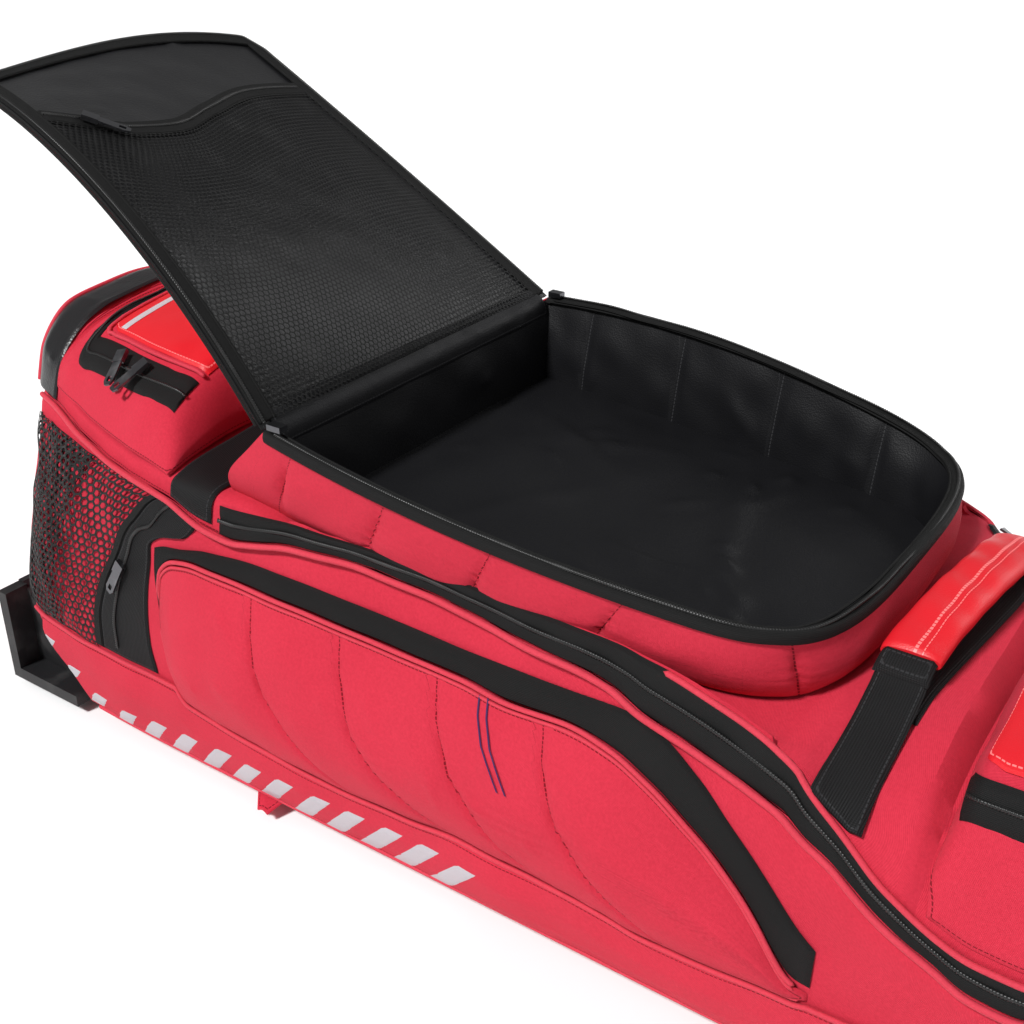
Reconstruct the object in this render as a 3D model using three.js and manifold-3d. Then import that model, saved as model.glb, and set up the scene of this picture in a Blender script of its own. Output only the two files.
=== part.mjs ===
// Wheeled cricket kit bag, lying on its base with the lid of its top compartment open.
// Millimetres, +Z up, +X from the wheel end to the handle end, -Y the near side.
import * as THREE from 'three';
import { mergeVertices } from 'three/addons/utils/BufferGeometryUtils.js';
import Module from 'manifold-3d';

const wasm = await Module();
wasm.setup();

// Driving sizes of the bag. While building, x is counted from the hinge line of the lid.
const wheelEndLength = 395;
const openingLength = 467;
const handleEndLength = 198;
const bagWidth = 450;
const bagHeight = 410;
const groundClearance = 14;

// Cloth, gaps and trim
const clothWall = 3;
const liningWall = 1.5;
const skinWall = 2;
const seat = 0.4;
const skinSeat = 0.7;
const pipingRadius = 2.6;
const trimPipingRadius = 2;
const pipingSides = 5;

// Top compartment
const rimHeight = 394;
const rimDrop = 50;
const rimWidthHinge = 412;
const rimWidthEnd = 367;
const rimBowNear = 20;
const rimBowFar = 4;
const rimLiftFar = 20;
const rimCorner = 100;
const cornerPower = 3.5;
const depthAtHinge = 72;
const depthAtEnd = 53;
const hingeSlopeRun = 64;
const footInset = 0.9;
const liningInset = 0.9;
const wallBulge = 4;
const rimTapeWidth = 9;
const rimTapeHeight = 2.5;

// Lid
const lidLength = 430;
const lidEndWidth = 362;
const lidRest = 1.6;
const lidThickness = 7;
const lidHingeThickness = 1.4;
const lidEndBow = 37;
const lidCorner = 18;
const lidNearAngles = [116, 176];
const lidFarAngles = [149, 148];
const borderWidth = 17;
const netWall = 1.2;
const netLift = 8;
const netHole = 0.5;
const lidNetCells = [4, 6];
const pullerLength = 33;
const zipBandWidth = 14;
const zipStart = 0.85;
const labelWidth = 9;

// Wheels, their housings, the base and its runners
const wheelRadius = 38;
const wheelWidth = 24;
const wheelSide = 152;
const wheelSetBack = 23;
const wheelPlay = 3.5;
const axleRadius = 4.5;
const axlePlay = 0.5;
const housingInnerSide = 112;
const housingOuterSide = 190;
const guardSide = 216;
const guardThickness = 13;
const guardProud = 8;
const guardUnderside = 11;
const guardLength = 103;
const bottomCorner = 24;
const cornerLength = 115;
const cornerHeight = 104;
const basePanelWall = 2.5;
const basePanelWidth = 388;
const runnerWidth = 26;
const runnerSide = 120;

// Side pockets
const leafStart = 0.645;
const leafEnd = 2.168;
const leafDepth = 25;
const leafTopLift = 7;
const quiltDepth = 4;
const quiltSlant = 0.12;
const netPocketDepth = 12;
const netStart = 0.92;
const sideNetCells = [5, 4];
const bindingWidth = 10;
const panelTopShare = 0.273;

// Webbing and the grab handle
const webbingWidth = 38;
const webbingWall = 3;
const girdleWidth = 52;
const girdleEnd = 67.5;
const handleLift = 32;
const sleeveWall = 3;

const halfWidth = bagWidth / 2;
const red = 0xe2485c;
const brightRed = 0xe8262f;
const black = 0x17171a;
const metal = 0x55575c;
const white = 0xe6e2e6;

const bag = new THREE.Group();

function clamp(value, low, high) {
  return Math.min(Math.max(value, low), high);
}

function mix(a, b, share) {
  return a + (b - a) * share;
}

function radians(degrees) {
  return (degrees * Math.PI) / 180;
}

// Points between two values, both included.
function steps(from, to, count) {
  return Array.from({ length: count + 1 }, (unused, i) => mix(from, to, i / count));
}

// A station counts along the bag: 0 to 1 wheel end, 1 to 2 opening, 2 to 3 handle end.
function xAt(station) {
  if (station < 1) return (station - 1) * wheelEndLength;
  if (station < 2) return (station - 1) * openingLength;
  return openingLength + (station - 2) * handleEndLength;
}

function stationAt(x) {
  if (x < 0) return 1 + x / wheelEndLength;
  if (x < openingLength) return 1 + x / openingLength;
  return 2 + (x - openingLength) / handleEndLength;
}

// A smooth curve through the rows of a table, without overshoot: column against first column.
function tableCurve(rows, column) {
  const xs = rows.map((row) => row[0]);
  const ys = rows.map((row) => row[column]);
  const slopes = xs.slice(1).map((x, i) => (ys[i + 1] - ys[i]) / (x - xs[i]));
  const tangents = xs.map((x, i) => {
    const before = slopes[Math.max(i - 1, 0)];
    const after = slopes[Math.min(i, slopes.length - 1)];
    return before * after <= 0 ? 0 : (2 * before * after) / (before + after);
  });
  return (x) => {
    const at = clamp(x, xs[0], xs[xs.length - 1]);
    let i = 0;
    while (i < xs.length - 2 && at > xs[i + 1]) i += 1;
    const span = xs[i + 1] - xs[i];
    const t = (at - xs[i]) / span;
    const h = t * t * (3 - 2 * t);
    const rise = t * (1 - t) * (1 - t) * span * tangents[i] - t * t * (1 - t) * span * tangents[i + 1];
    return mix(ys[i], ys[i + 1], h) + rise;
  };
}

// Half width of the sides at five heights. Widths are shares of the half width.
const sideHeights = [0.054, 0.273, 0.488, 0.732, 0.83];
const sideRows = [
  // station, at the base, low, middle, high, top
  [0.0, 0.82, 0.78, 0.69, 0.56, 0.5],
  [0.03, 0.88, 0.85, 0.76, 0.62, 0.57],
  [0.08, 0.92, 0.9, 0.81, 0.68, 0.63],
  [0.2, 0.945, 0.95, 0.885, 0.755, 0.69],
  [0.37, 0.955, 0.985, 0.94, 0.84, 0.775],
  [0.56, 0.96, 1.0, 0.98, 0.91, 0.84],
  [0.75, 0.96, 1.0, 0.985, 0.92, 0.875],
  [1.0, 0.96, 1.0, 0.985, 0.92, 0.88],
  [1.5, 0.955, 0.995, 0.98, 0.92, 0.88],
  [2.0, 0.95, 0.99, 0.975, 0.9, 0.86],
  [2.4, 0.945, 0.98, 0.965, 0.88, 0.84],
  [2.8, 0.93, 0.965, 0.945, 0.86, 0.8],
  [2.93, 0.89, 0.925, 0.905, 0.82, 0.77],
  [2.98, 0.84, 0.875, 0.855, 0.77, 0.72],
  [3.0, 0.77, 0.81, 0.79, 0.72, 0.68],
];
const sideCurves = sideHeights.map((height, i) => tableCurve(sideRows, i + 1));

function sideHalfWidth(station, z) {
  const levels = sideHeights.map((height, i) => [height, sideCurves[i](station)]);
  return halfWidth * tableCurve(levels, 1)(z / bagHeight);
}

// Heights of the main seam and of the top edge of the main zip band, as shares of the bag height.
const seamRows = [
  // station, main seam, top of the zip band
  [0.0, 0.79, 0.83],
  [0.08, 0.79, 0.825],
  [0.37, 0.762, 0.8],
  [0.56, 0.747, 0.785],
  [0.7, 0.73, 0.77],
  [0.8, 0.7, 0.757],
  [0.88, 0.69, 0.758],
  [0.96, 0.705, 0.765],
  [1.06, 0.727, 0.772],
  [1.2, 0.739, 0.777],
  [1.34, 0.735, 0.78],
  [1.52, 0.715, 0.775],
  [1.7, 0.69, 0.77],
  [1.76, 0.66, 0.757],
  [1.85, 0.632, 0.735],
  [1.94, 0.6, 0.7],
  [2.06, 0.55, 0.635],
  [2.18, 0.522, 0.59],
  [2.36, 0.456, 0.52],
  [2.55, 0.41, 0.47],
  [2.67, 0.385, 0.452],
  [3.0, 0.37, 0.44],
];
const seamHeight = tableCurve(seamRows, 1);
const zipTopHeight = tableCurve(seamRows, 2);

function seamZ(station) {
  return bagHeight * seamHeight(station);
}

function zipTopZ(station) {
  return bagHeight * zipTopHeight(station);
}

function rimLine(x) {
  return rimHeight - (rimDrop * clamp(x, 0, openingLength)) / lidLength;
}

// Height of the floor of the top compartment.
function floorZ(x) {
  return rimLine(x) - mix(depthAtHinge, depthAtEnd, clamp(x / openingLength, 0, 1));
}

// Under the compartment the upper skin is the flat floor, just below the lining.
function floorRow(station) {
  const height = (floorZ(xAt(station)) - clothWall) / bagHeight;
  return [station, 0.872, height - 0.012, 0.5, height, height];
}

// Sections of the upper skin, as shares of the half width and of the bag height.
const deckRows = [
  // station, shoulder width, shoulder height, top width, top height, crown height
  [0.0, 0.47, 0.86, 0.3, 0.945, 0.955],
  [0.03, 0.54, 0.875, 0.36, 0.96, 0.985],
  [0.08, 0.6, 0.888, 0.39, 0.968, 1.0],
  [0.155, 0.62, 0.888, 0.4, 0.968, 1.0],
  [0.2, 0.66, 0.835, 0.42, 0.875, 0.885],
  [0.37, 0.72, 0.81, 0.45, 0.845, 0.855],
  [0.6, 0.8, 0.8, 0.5, 0.825, 0.835],
  [0.72, 0.84, 0.785, 0.55, 0.805, 0.812],
  [0.83, 0.865, 0.775, 0.55, 0.785, 0.79],
  [0.93, 0.87, 0.772, 0.5, 0.78, 0.782],
  ...[1.0, 1.2, 1.5, 1.8, 1.98].map(floorRow),
  [2.06, 0.82, 0.665, 0.45, 0.705, 0.713],
  [2.2, 0.81, 0.65, 0.45, 0.705, 0.715],
  [2.4, 0.8, 0.65, 0.5, 0.71, 0.72],
  [2.46, 0.8, 0.6, 0.5, 0.66, 0.67],
  [2.8, 0.78, 0.58, 0.5, 0.64, 0.65],
  [2.95, 0.74, 0.57, 0.48, 0.62, 0.63],
  [3.0, 0.66, 0.56, 0.42, 0.61, 0.62],
];
const deckCurves = [1, 2, 3, 4, 5].map((column) => tableCurve(deckRows, column));

// The shoe pocket and the end pocket, where they stand above the upper skin.
const pocketRows = [
  // station, shoulder width, shoulder height, top width, top height, crown height
  [0.155, 0.645, 0.88, 0.43, 0.96, 0.995],
  [0.37, 0.72, 0.888, 0.51, 0.962, 1.005],
  [0.56, 0.78, 0.888, 0.56, 0.96, 1.01],
  [0.75, 0.8, 0.87, 0.56, 0.945, 0.99],
  [2.38, 0.845, 0.655, 0.77, 0.735, 0.775],
  [2.7, 0.85, 0.655, 0.78, 0.742, 0.785],
  [2.95, 0.8, 0.65, 0.72, 0.73, 0.765],
];
const pocketCurves = [1, 2, 3, 4, 5].map((column) => tableCurve(pocketRows, column));

// Point of a cross section. across runs from -4 at the near seam over 0 at the crown to 4.
function sectionPoint(station, across, curves) {
  const [shoulderWidth, shoulderHeight, topWidth, topHeight, crown] = curves.map((curve) => curve(station));
  const low = seamZ(station) + seat;
  const high = zipTopZ(station);
  const half = [
    [0, 0, bagHeight * crown],
    [1, halfWidth * topWidth, bagHeight * topHeight],
    [2, halfWidth * shoulderWidth, bagHeight * shoulderHeight],
    [3, sideHalfWidth(station, high), high],
    [4, sideHalfWidth(station, low), low],
  ];
  const at = Math.abs(across);
  const y = tableCurve(half, 1)(at) * Math.sign(across);
  return new THREE.Vector3(xAt(station), y, tableCurve(half, 2)(at));
}

// A surface gives a point for two parameters, and which way its outside faces there.
function awayFromCore(point) {
  return new THREE.Vector3(0, point.y, point.z - bagHeight * 0.45);
}

const deck = {
  at: (station, across) => sectionPoint(station, across, deckCurves),
  faces: awayFromCore,
};

// A pocket rises steeply from the upper skin over the length of its end wall.
function pocketSurface(first, last, endWall) {
  const at = (station, across) => {
    const run = Math.min(xAt(station) - xAt(first), xAt(last) - xAt(station)) / endWall;
    const ends = Math.sqrt(1 - (1 - clamp(run, 0, 1)) ** 2);
    const foot = deck.at(station, across);
    foot.z += skinSeat * 2;
    return foot.lerp(sectionPoint(station, across, pocketCurves), ends);
  };
  return { at, faces: awayFromCore };
}

// Below the bottom corner the side turns in towards the base.
function sideSurface(side) {
  const at = (station, z) => {
    const corner = bottomZ(xAt(station)) + bottomCorner;
    const turned = Math.max(corner - z, 0) * 0.43;
    const y = sideHalfWidth(station, Math.max(z, corner)) - turned;
    return new THREE.Vector3(xAt(station), side * y, z);
  };
  return { at, faces: () => new THREE.Vector3(0, side, 0) };
}

function normalOf(surface, a, b) {
  const step = 0.004;
  const alongA = surface.at(a + step, b).sub(surface.at(a - step, b));
  const alongB = surface.at(a, b + step * 4).sub(surface.at(a, b - step * 4));
  const normal = alongA.cross(alongB).normalize();
  return normal.dot(surface.faces(surface.at(a, b))) < 0 ? normal.negate() : normal;
}

function offsetFrom(surface, a, b, distance) {
  return surface.at(a, b).addScaledVector(normalOf(surface, a, b), distance);
}

// Height of the built upper skin under a point of the plan.
function deckTop(x, y) {
  const from = new THREE.Vector3(x, y, bagHeight * 2);
  const hits = new THREE.Raycaster(from, new THREE.Vector3(0, 0, -1)).intersectObjects(bag.children);
  const hit = hits.find((found) => found.object.name === 'top_deck');
  return hit ? hit.point.z : 0;
}

// Meshes
function volumeOf(triangles) {
  let sum = 0;
  for (const [a, b, c] of triangles) sum += a.dot(new THREE.Vector3().crossVectors(b, c));
  return sum;
}

function piece(name, geometry, color, finish = {}) {
  geometry.computeVertexNormals();
  const material = new THREE.MeshStandardMaterial({ color, roughness: 0.8, metalness: 0, ...finish });
  const mesh = new THREE.Mesh(geometry, material);
  mesh.name = name;
  bag.add(mesh);
  return mesh;
}

function solid(name, triangles, color, finish = {}) {
  const outward = volumeOf(triangles) > 0 ? triangles : triangles.map(([a, b, c]) => [a, c, b]);
  const positions = outward.flat().flatMap((p) => [p.x, p.y, p.z]);
  const geometry = new THREE.BufferGeometry();
  geometry.setAttribute('position', new THREE.Float32BufferAttribute(positions, 3));
  return piece(name, geometry, color, finish);
}

function toManifold(geometry) {
  const plain = geometry.clone();
  plain.deleteAttribute('normal');
  plain.deleteAttribute('uv');
  const merged = mergeVertices(plain, 1e-4);
  const vertProperties = new Float32Array(merged.attributes.position.array);
  const triVerts = new Uint32Array(merged.index.array);
  return new wasm.Manifold(new wasm.Mesh({ numProp: 3, vertProperties, triVerts }));
}

function fromManifold(body) {
  const mesh = body.getMesh();
  const geometry = new THREE.BufferGeometry();
  geometry.setAttribute('position', new THREE.BufferAttribute(new Float32Array(mesh.vertProperties), 3));
  geometry.setIndex(new THREE.BufferAttribute(new Uint32Array(mesh.triVerts), 1));
  return geometry;
}

function quad(a, b, c, d) {
  return [[a, b, c], [a, c, d]];
}

// Two grids of points, the outer and the inner face of a wall, closed along their edges.
function wallTriangles(outer, inner, loops = false) {
  const triangles = [];
  const rows = outer.length;
  const last = outer[0].length - 1;
  const next = (i) => (i + 1) % rows;
  for (let i = 0; i < (loops ? rows : rows - 1); i += 1) {
    for (let j = 0; j < last; j += 1) {
      triangles.push(...quad(outer[i][j], outer[next(i)][j], outer[next(i)][j + 1], outer[i][j + 1]));
      triangles.push(...quad(inner[i][j], inner[i][j + 1], inner[next(i)][j + 1], inner[next(i)][j]));
    }
    triangles.push(...quad(outer[i][0], inner[i][0], inner[next(i)][0], outer[next(i)][0]));
    triangles.push(...quad(outer[i][last], outer[next(i)][last], inner[next(i)][last], inner[i][last]));
  }
  const end = rows - 1;
  for (let j = 0; j < (loops ? 0 : last); j += 1) {
    triangles.push(...quad(outer[0][j], outer[0][j + 1], inner[0][j + 1], inner[0][j]));
    triangles.push(...quad(outer[end][j], inner[end][j], inner[end][j + 1], outer[end][j + 1]));
  }
  return triangles;
}

// A cup: rings of points from the rim to the floor, the floor closed by a fan on its centre.
function cupTriangles(outer, inner) {
  const triangles = [];
  const rows = outer.length;
  const last = outer[0].length - 1;
  const centreOf = (grid) => grid
    .reduce((sum, row) => sum.add(row[last]), new THREE.Vector3())
    .multiplyScalar(1 / rows);
  const outerCentre = centreOf(outer);
  const innerCentre = centreOf(inner);
  for (let i = 0; i < rows; i += 1) {
    const next = (i + 1) % rows;
    for (let j = 0; j < last; j += 1) {
      triangles.push(...quad(outer[i][j], outer[next][j], outer[next][j + 1], outer[i][j + 1]));
      triangles.push(...quad(inner[i][j], inner[i][j + 1], inner[next][j + 1], inner[next][j]));
    }
    triangles.push(...quad(outer[i][0], inner[i][0], inner[next][0], outer[next][0]));
    triangles.push([outer[i][last], outer[next][last], outerCentre]);
    triangles.push([inner[i][last], innerCentre, inner[next][last]]);
  }
  return triangles;
}

// A trough: a wall whose two ends are closed by end walls, open along its long edges.
function troughTriangles(outer, inner) {
  const triangles = [];
  const end = outer.length - 1;
  const last = outer[0].length - 1;
  for (let i = 0; i < end; i += 1) {
    for (let j = 0; j < last; j += 1) {
      triangles.push(...quad(outer[i][j], outer[i + 1][j], outer[i + 1][j + 1], outer[i][j + 1]));
      triangles.push(...quad(inner[i][j], inner[i][j + 1], inner[i + 1][j + 1], inner[i + 1][j]));
    }
    triangles.push(...quad(outer[i][0], inner[i][0], inner[i + 1][0], outer[i + 1][0]));
    triangles.push(...quad(outer[i][last], outer[i + 1][last], inner[i + 1][last], inner[i][last]));
  }
  for (const [grid, turned] of [[outer, false], [inner, true]]) {
    for (const i of [0, end]) {
      const middle = grid[i][Math.round(last / 2)];
      const centre = grid[i][0].clone().add(grid[i][last]).multiplyScalar(0.5);
      centre.lerp(new THREE.Vector3(middle.x, 0, middle.z), 0.5);
      const flip = turned !== (i === 0);
      for (let j = 0; j <= last; j += 1) {
        const a = grid[i][j];
        const b = grid[i][(j + 1) % (last + 1)];
        triangles.push(flip ? [centre, a, b] : [centre, b, a]);
      }
    }
  }
  triangles.push(...quad(outer[0][0], outer[0][last], inner[0][last], inner[0][0]));
  triangles.push(...quad(outer[end][0], inner[end][0], inner[end][last], outer[end][last]));
  return triangles;
}

// A grid of parameter pairs, one row for each value of the first list.
function pairGrid(first, second) {
  return first.map((a) => second.map((b) => [a, b]));
}

// A skin of cloth on a surface. Each pair may carry a third value, its lift off the surface.
function skin(name, surface, pairs, color, options = {}) {
  const { wall = skinWall, rest = skinSeat } = options;
  const face = (distance) => pairs.map((row) => row.map(([a, b, lift = 0]) => (
    offsetFrom(surface, a, b, distance + lift)
  )));
  return solid(name, wallTriangles(face(rest + wall), face(rest)), color);
}

// A coarse net: each cell of the grid is a frame round an open gap.
function netTriangles(front, back) {
  const triangles = [];
  const rows = front.length - 1;
  const last = front[0].length - 1;
  const frame = (grid, i, j) => [grid[i][j], grid[i + 1][j], grid[i + 1][j + 1], grid[i][j + 1]];
  const gap = (corners) => {
    const centre = corners.reduce((sum, p) => sum.add(p), new THREE.Vector3()).multiplyScalar(0.25);
    return corners.map((p) => centre.clone().lerp(p, netHole));
  };
  for (let i = 0; i < rows; i += 1) {
    for (let j = 0; j < last; j += 1) {
      const a = frame(front, i, j);
      const b = frame(back, i, j);
      const c = gap(a);
      const d = gap(b);
      for (let k = 0; k < 4; k += 1) {
        const n = (k + 1) % 4;
        triangles.push(...quad(a[k], a[n], c[n], c[k]));
        triangles.push(...quad(b[k], d[k], d[n], b[n]));
        triangles.push(...quad(c[k], c[n], d[n], d[k]));
      }
    }
    triangles.push(...quad(front[i][0], back[i][0], back[i + 1][0], front[i + 1][0]));
    triangles.push(...quad(front[i][last], front[i + 1][last], back[i + 1][last], back[i][last]));
  }
  for (let j = 0; j < last; j += 1) {
    triangles.push(...quad(front[0][j], front[0][j + 1], back[0][j + 1], back[0][j]));
    triangles.push(...quad(front[rows][j], back[rows][j], back[rows][j + 1], front[rows][j + 1]));
  }
  return triangles;
}

function net(name, surface, pairs, rest) {
  const face = (distance) => pairs.map((row) => row.map(([a, b, lift]) => (
    offsetFrom(surface, a, b, distance + lift)
  )));
  return solid(name, netTriangles(face(rest + netWall), face(rest)), black);
}

// Piping along a smooth path
function tube(name, points, radius, color, count) {
  const corners = steps(0, Math.PI * 2, pipingSides).slice(0, -1);
  const section = new THREE.Shape(corners.map((angle) => (
    new THREE.Vector2(Math.cos(angle) * radius, Math.sin(angle) * radius)
  )));
  const geometry = new THREE.ExtrudeGeometry(section, {
    steps: count,
    bevelEnabled: false,
    extrudePath: new THREE.CatmullRomCurve3(points),
  });
  return piece(name, geometry, color);
}

function names(side) {
  return side < 0 ? 'near' : 'far';
}

// Lower bag
function bottomZ(x) {
  const run = clamp((x + wheelEndLength) / cornerLength, 0, 1);
  return groundClearance + cornerHeight * (1 - run);
}

function tubSection(station) {
  const cornerCut = bottomCorner * 0.3;
  const bottom = bottomZ(xAt(station));
  const half = [];
  for (const share of [1, 0.5, 0]) {
    const z = mix(bottom + bottomCorner, seamZ(station), share);
    half.push([sideHalfWidth(station, z), z]);
  }
  const width = half[half.length - 1][0];
  half.push([width - cornerCut, bottom + cornerCut]);
  half.push([width - bottomCorner, bottom]);
  const near = half.map(([y, z]) => new THREE.Vector3(xAt(station), -y, z));
  const far = half.map(([y, z]) => new THREE.Vector3(xAt(station), y, z)).reverse();
  return [...near, ...far];
}

// A section set inwards by the wall, level along its two free edges.
function insetSection(points, wall, endShift) {
  return points.map((point, j) => {
    if (j === 0 || j === points.length - 1) {
      return new THREE.Vector3(point.x + endShift, point.y - Math.sign(point.y) * wall, point.z);
    }
    const along = new THREE.Vector2(
      points[j + 1].y - points[j - 1].y,
      points[j + 1].z - points[j - 1].z,
    ).normalize();
    return new THREE.Vector3(point.x + endShift, point.y - along.y * wall, point.z + along.x * wall);
  });
}

function trough(name, stations, section, wall, color) {
  const outer = stations.map(section);
  const end = stations.length - 1;
  const inner = outer.map((points, i) => {
    const shift = i === 0 ? wall : i === end ? -wall : 0;
    return insetSection(points, wall, shift);
  });
  return solid(name, troughTriangles(outer, inner), color);
}

const bodyStations = [
  0, 0.03, 0.08, 0.155, 0.2, 0.29, 0.37, 0.56, 0.72, 0.83, 0.93, 1, 1.2, 1.5, 1.8, 1.98, 2.06,
  2.2, 2.4, 2.46, 2.62, 2.8, 2.95, 3,
];

function makeShell() {
  trough('body_tub', bodyStations, tubSection, clothWall, red);
  const acrossSteps = [4, 3, 2, 1, 0, -1, -2, -3, -4];
  const section = (station) => acrossSteps.map((across) => deck.at(station, across));
  trough('top_deck', bodyStations, section, clothWall, red);
}

// Top compartment: the outline of its rim, open at the hinge, from the near to the far corner.
function rimHalfWidth(x, side) {
  const u = clamp(x / lidLength, 0, 1);
  const bow = side < 0 ? rimBowNear : rimBowFar;
  return mix(rimWidthHinge, rimWidthEnd, u) / 2 + bow * 4 * u * (1 - u);
}

function rimOutline() {
  const straight = openingLength - rimCorner;
  const half = steps(0, straight, 6).map((x) => [x, 1]);
  for (const angle of [18, 36, 54, 72]) {
    const run = Math.sin(radians(angle)) ** (2 / cornerPower);
    half.push([straight + rimCorner * run, Math.cos(radians(angle)) ** (2 / cornerPower)]);
  }
  const point = (x, share, side) => {
    const u = clamp(x / lidLength, 0, 1);
    const lift = side > 0 ? rimLiftFar * 4 * u * (1 - u) * share : 0;
    return new THREE.Vector3(x, side * share * rimHalfWidth(x, side), rimLine(x) + lift);
  };
  const near = half.map(([x, share]) => point(x, share, -1));
  const far = half.map(([x, share]) => point(x, share, 1)).reverse();
  return [...near, point(openingLength, 0, 1), ...far];
}

// The closed outline adds points along the hinge, from the far corner back to the near one.
function closedOutline() {
  const outline = rimOutline();
  const far = outline[outline.length - 1];
  const hinge = steps(0, 1, 4).slice(1, -1).map((share) => far.clone().lerp(outline[0], share));
  return [...outline, ...hinge];
}

// A closed plan outline moved inwards by a distance, with square corners kept square.
function insetOutline(outline, distance) {
  const count = outline.length;
  return outline.map((point, i) => {
    const before = outline[(i - 1 + count) % count];
    const after = outline[(i + 1) % count];
    const first = new THREE.Vector2(point.x - before.x, point.y - before.y).normalize();
    const second = new THREE.Vector2(after.x - point.x, after.y - point.y).normalize();
    const inward = new THREE.Vector2(-first.y - second.y, first.x + second.x).normalize();
    const reach = distance / Math.max(inward.dot(new THREE.Vector2(-first.y, first.x)), 0.5);
    return new THREE.Vector3(point.x + inward.x * reach, point.y + inward.y * reach, point.z);
  });
}

// Foot of the compartment wall on the upper skin. At the hinge it runs out in a slope.
function footPoint(rim) {
  const slope = 1 - clamp(rim.x / 140, 0, 1);
  const x = 2 + rim.x * 0.985 - hingeSlopeRun * slope * slope;
  return new THREE.Vector2(x, rim.y * footInset);
}

// Highest point of the upper skin at a foot point and half way to its neighbours.
function restingZ(feet, i) {
  const count = feet.length;
  const here = feet[i];
  const around = [here];
  for (const other of [feet[(i + 1) % count], feet[(i - 1 + count) % count]]) {
    around.push(here.clone().lerp(other, 0.25), here.clone().lerp(other, 0.5));
  }
  return Math.max(...around.map((point) => deckTop(point.x, point.y)));
}

function makeCompartment() {
  const outline = closedOutline();
  const inwards = insetOutline(outline, 1).map((point, i) => point.sub(outline[i]));
  const feetAt = (inset) => outline.map((rim, i) => {
    const foot = footPoint(rim);
    return new THREE.Vector2(foot.x + inwards[i].x * inset, foot.y + inwards[i].y * inset);
  });
  const outerFeet = feetAt(0);
  const innerFeet = feetAt(clothWall);
  const footHeights = outline.map((rim, i) => (
    Math.max(restingZ(outerFeet, i), restingZ(innerFeet, i)) + seat
  ));
  const walls = (inset, feet) => insetOutline(outline, inset).map((rim, i) => (
    [0, 0.5, 1].map((share) => {
      const bulge = wallBulge * Math.sin(Math.PI * share);
      const x = mix(rim.x, feet[i].x, share) - inwards[i].x * bulge;
      const y = mix(rim.y, feet[i].y, share) - inwards[i].y * bulge;
      return new THREE.Vector3(x, y, mix(rim.z, footHeights[i], share));
    })
  ));
  solid('box_wall', wallTriangles(walls(0, outerFeet), walls(clothWall, innerFeet), true), red);

  const lining = (inset, floorLift) => insetOutline(outline, inset).map((rim, i) => {
    const foot = new THREE.Vector2(mix(rim.x, openingLength / 2, 0.05), rim.y * liningInset);
    const z = floorZ(foot.x) - clothWall + seat * 2 + floorLift;
    return [0, 0.5, 1].map((share) => new THREE.Vector3(
      mix(rim.x, foot.x, share),
      mix(rim.y, foot.y, share),
      mix(outline[i].z - seat * 2, z, share),
    ));
  });
  const inset = clothWall + seat * 2;
  const cup = cupTriangles(lining(inset, 0), lining(inset + liningWall, liningWall));
  solid('compartment_lining', cup, black);

  const tape = (distance, lift) => {
    const ring = insetOutline(outline, distance).slice(0, rimOutline().length);
    return ring.map((rim) => new THREE.Vector3(Math.max(rim.x, clothWall), rim.y, rim.z + seat + lift));
  };
  const top = tape(-1, rimTapeHeight).map((p, i) => [p, tape(rimTapeWidth, rimTapeHeight)[i]]);
  const under = tape(-1, 0).map((p, i) => [p, tape(rimTapeWidth, 0)[i]]);
  solid('rim_zip', wallTriangles(top, under), black);

  for (const side of [-1, 1]) {
    const slider = new THREE.BoxGeometry(14, 9, 5);
    const x = 14;
    const mesh = piece(`hinge_slider_${names(side)}`, slider, metal, { roughness: 0.35, metalness: 0.9 });
    mesh.position.set(x, side * (rimHalfWidth(x, side) - rimTapeWidth / 2), rimLine(x) + rimTapeHeight + 6.5);
  }
}

// Lid: both long edges are arcs in the upright plane, given by their first and last angles.
function arcPoint(angles, u) {
  const count = 16;
  const point = { x: 0, z: 0 };
  for (let i = 0; i < count; i += 1) {
    const angle = radians(mix(angles[0], angles[1], (u * (i + 0.5)) / count));
    point.x += (Math.cos(angle) * lidLength * u) / count;
    point.z += (Math.sin(angle) * lidLength * u) / count;
  }
  return point;
}

function lidEdge(side, u) {
  const along = arcPoint(side < 0 ? lidNearAngles : lidFarAngles, u);
  const bow = (side < 0 ? rimBowNear : rimBowFar) * 4 * u * (1 - u);
  const y = side * (mix(rimWidthHinge, lidEndWidth, u) / 2 + bow);
  return new THREE.Vector3(along.x, y, rimHeight + lidRest + along.z);
}

// u runs from the hinge to the free end, w from the near to the far edge.
const lidInside = {
  at: (u, w) => {
    const across = clamp(Math.abs(2 * w - 1), 0, 1);
    const cornerShare = (2 * lidCorner) / lidEndWidth;
    const corner = clamp((across - 1 + cornerShare) / cornerShare, 0, 1);
    const cut = lidCorner * (1 - Math.sqrt(1 - corner * corner));
    const reach = u * (1 + (lidEndBow * (1 - across * across) - cut) / lidLength);
    return lidEdge(-1, reach).lerp(lidEdge(1, reach), w);
  },
  faces: () => new THREE.Vector3(1, 0, 1),
};

const netTopRows = [
  // share across the lid, share along it of the pocket's top edge
  [0, 0.75],
  [0.1, 0.7],
  [0.22, 0.645],
  [0.36, 0.632],
  [0.55, 0.675],
  [0.75, 0.73],
  [1, 0.765],
];
const netTop = tableCurve(netTopRows, 1);

const lidAlong = [0.002, 0.04, 0.12, 0.24, 0.36, 0.48, 0.6, 0.72, 0.84, 0.94, 1];

const shoeSpan = [0.165, 0.685];
const endSpan = [2.495, 2.95];
const shoeSurface = pocketSurface(...shoeSpan, 26);
const endSurface = pocketSurface(...endSpan, 16);

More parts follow.
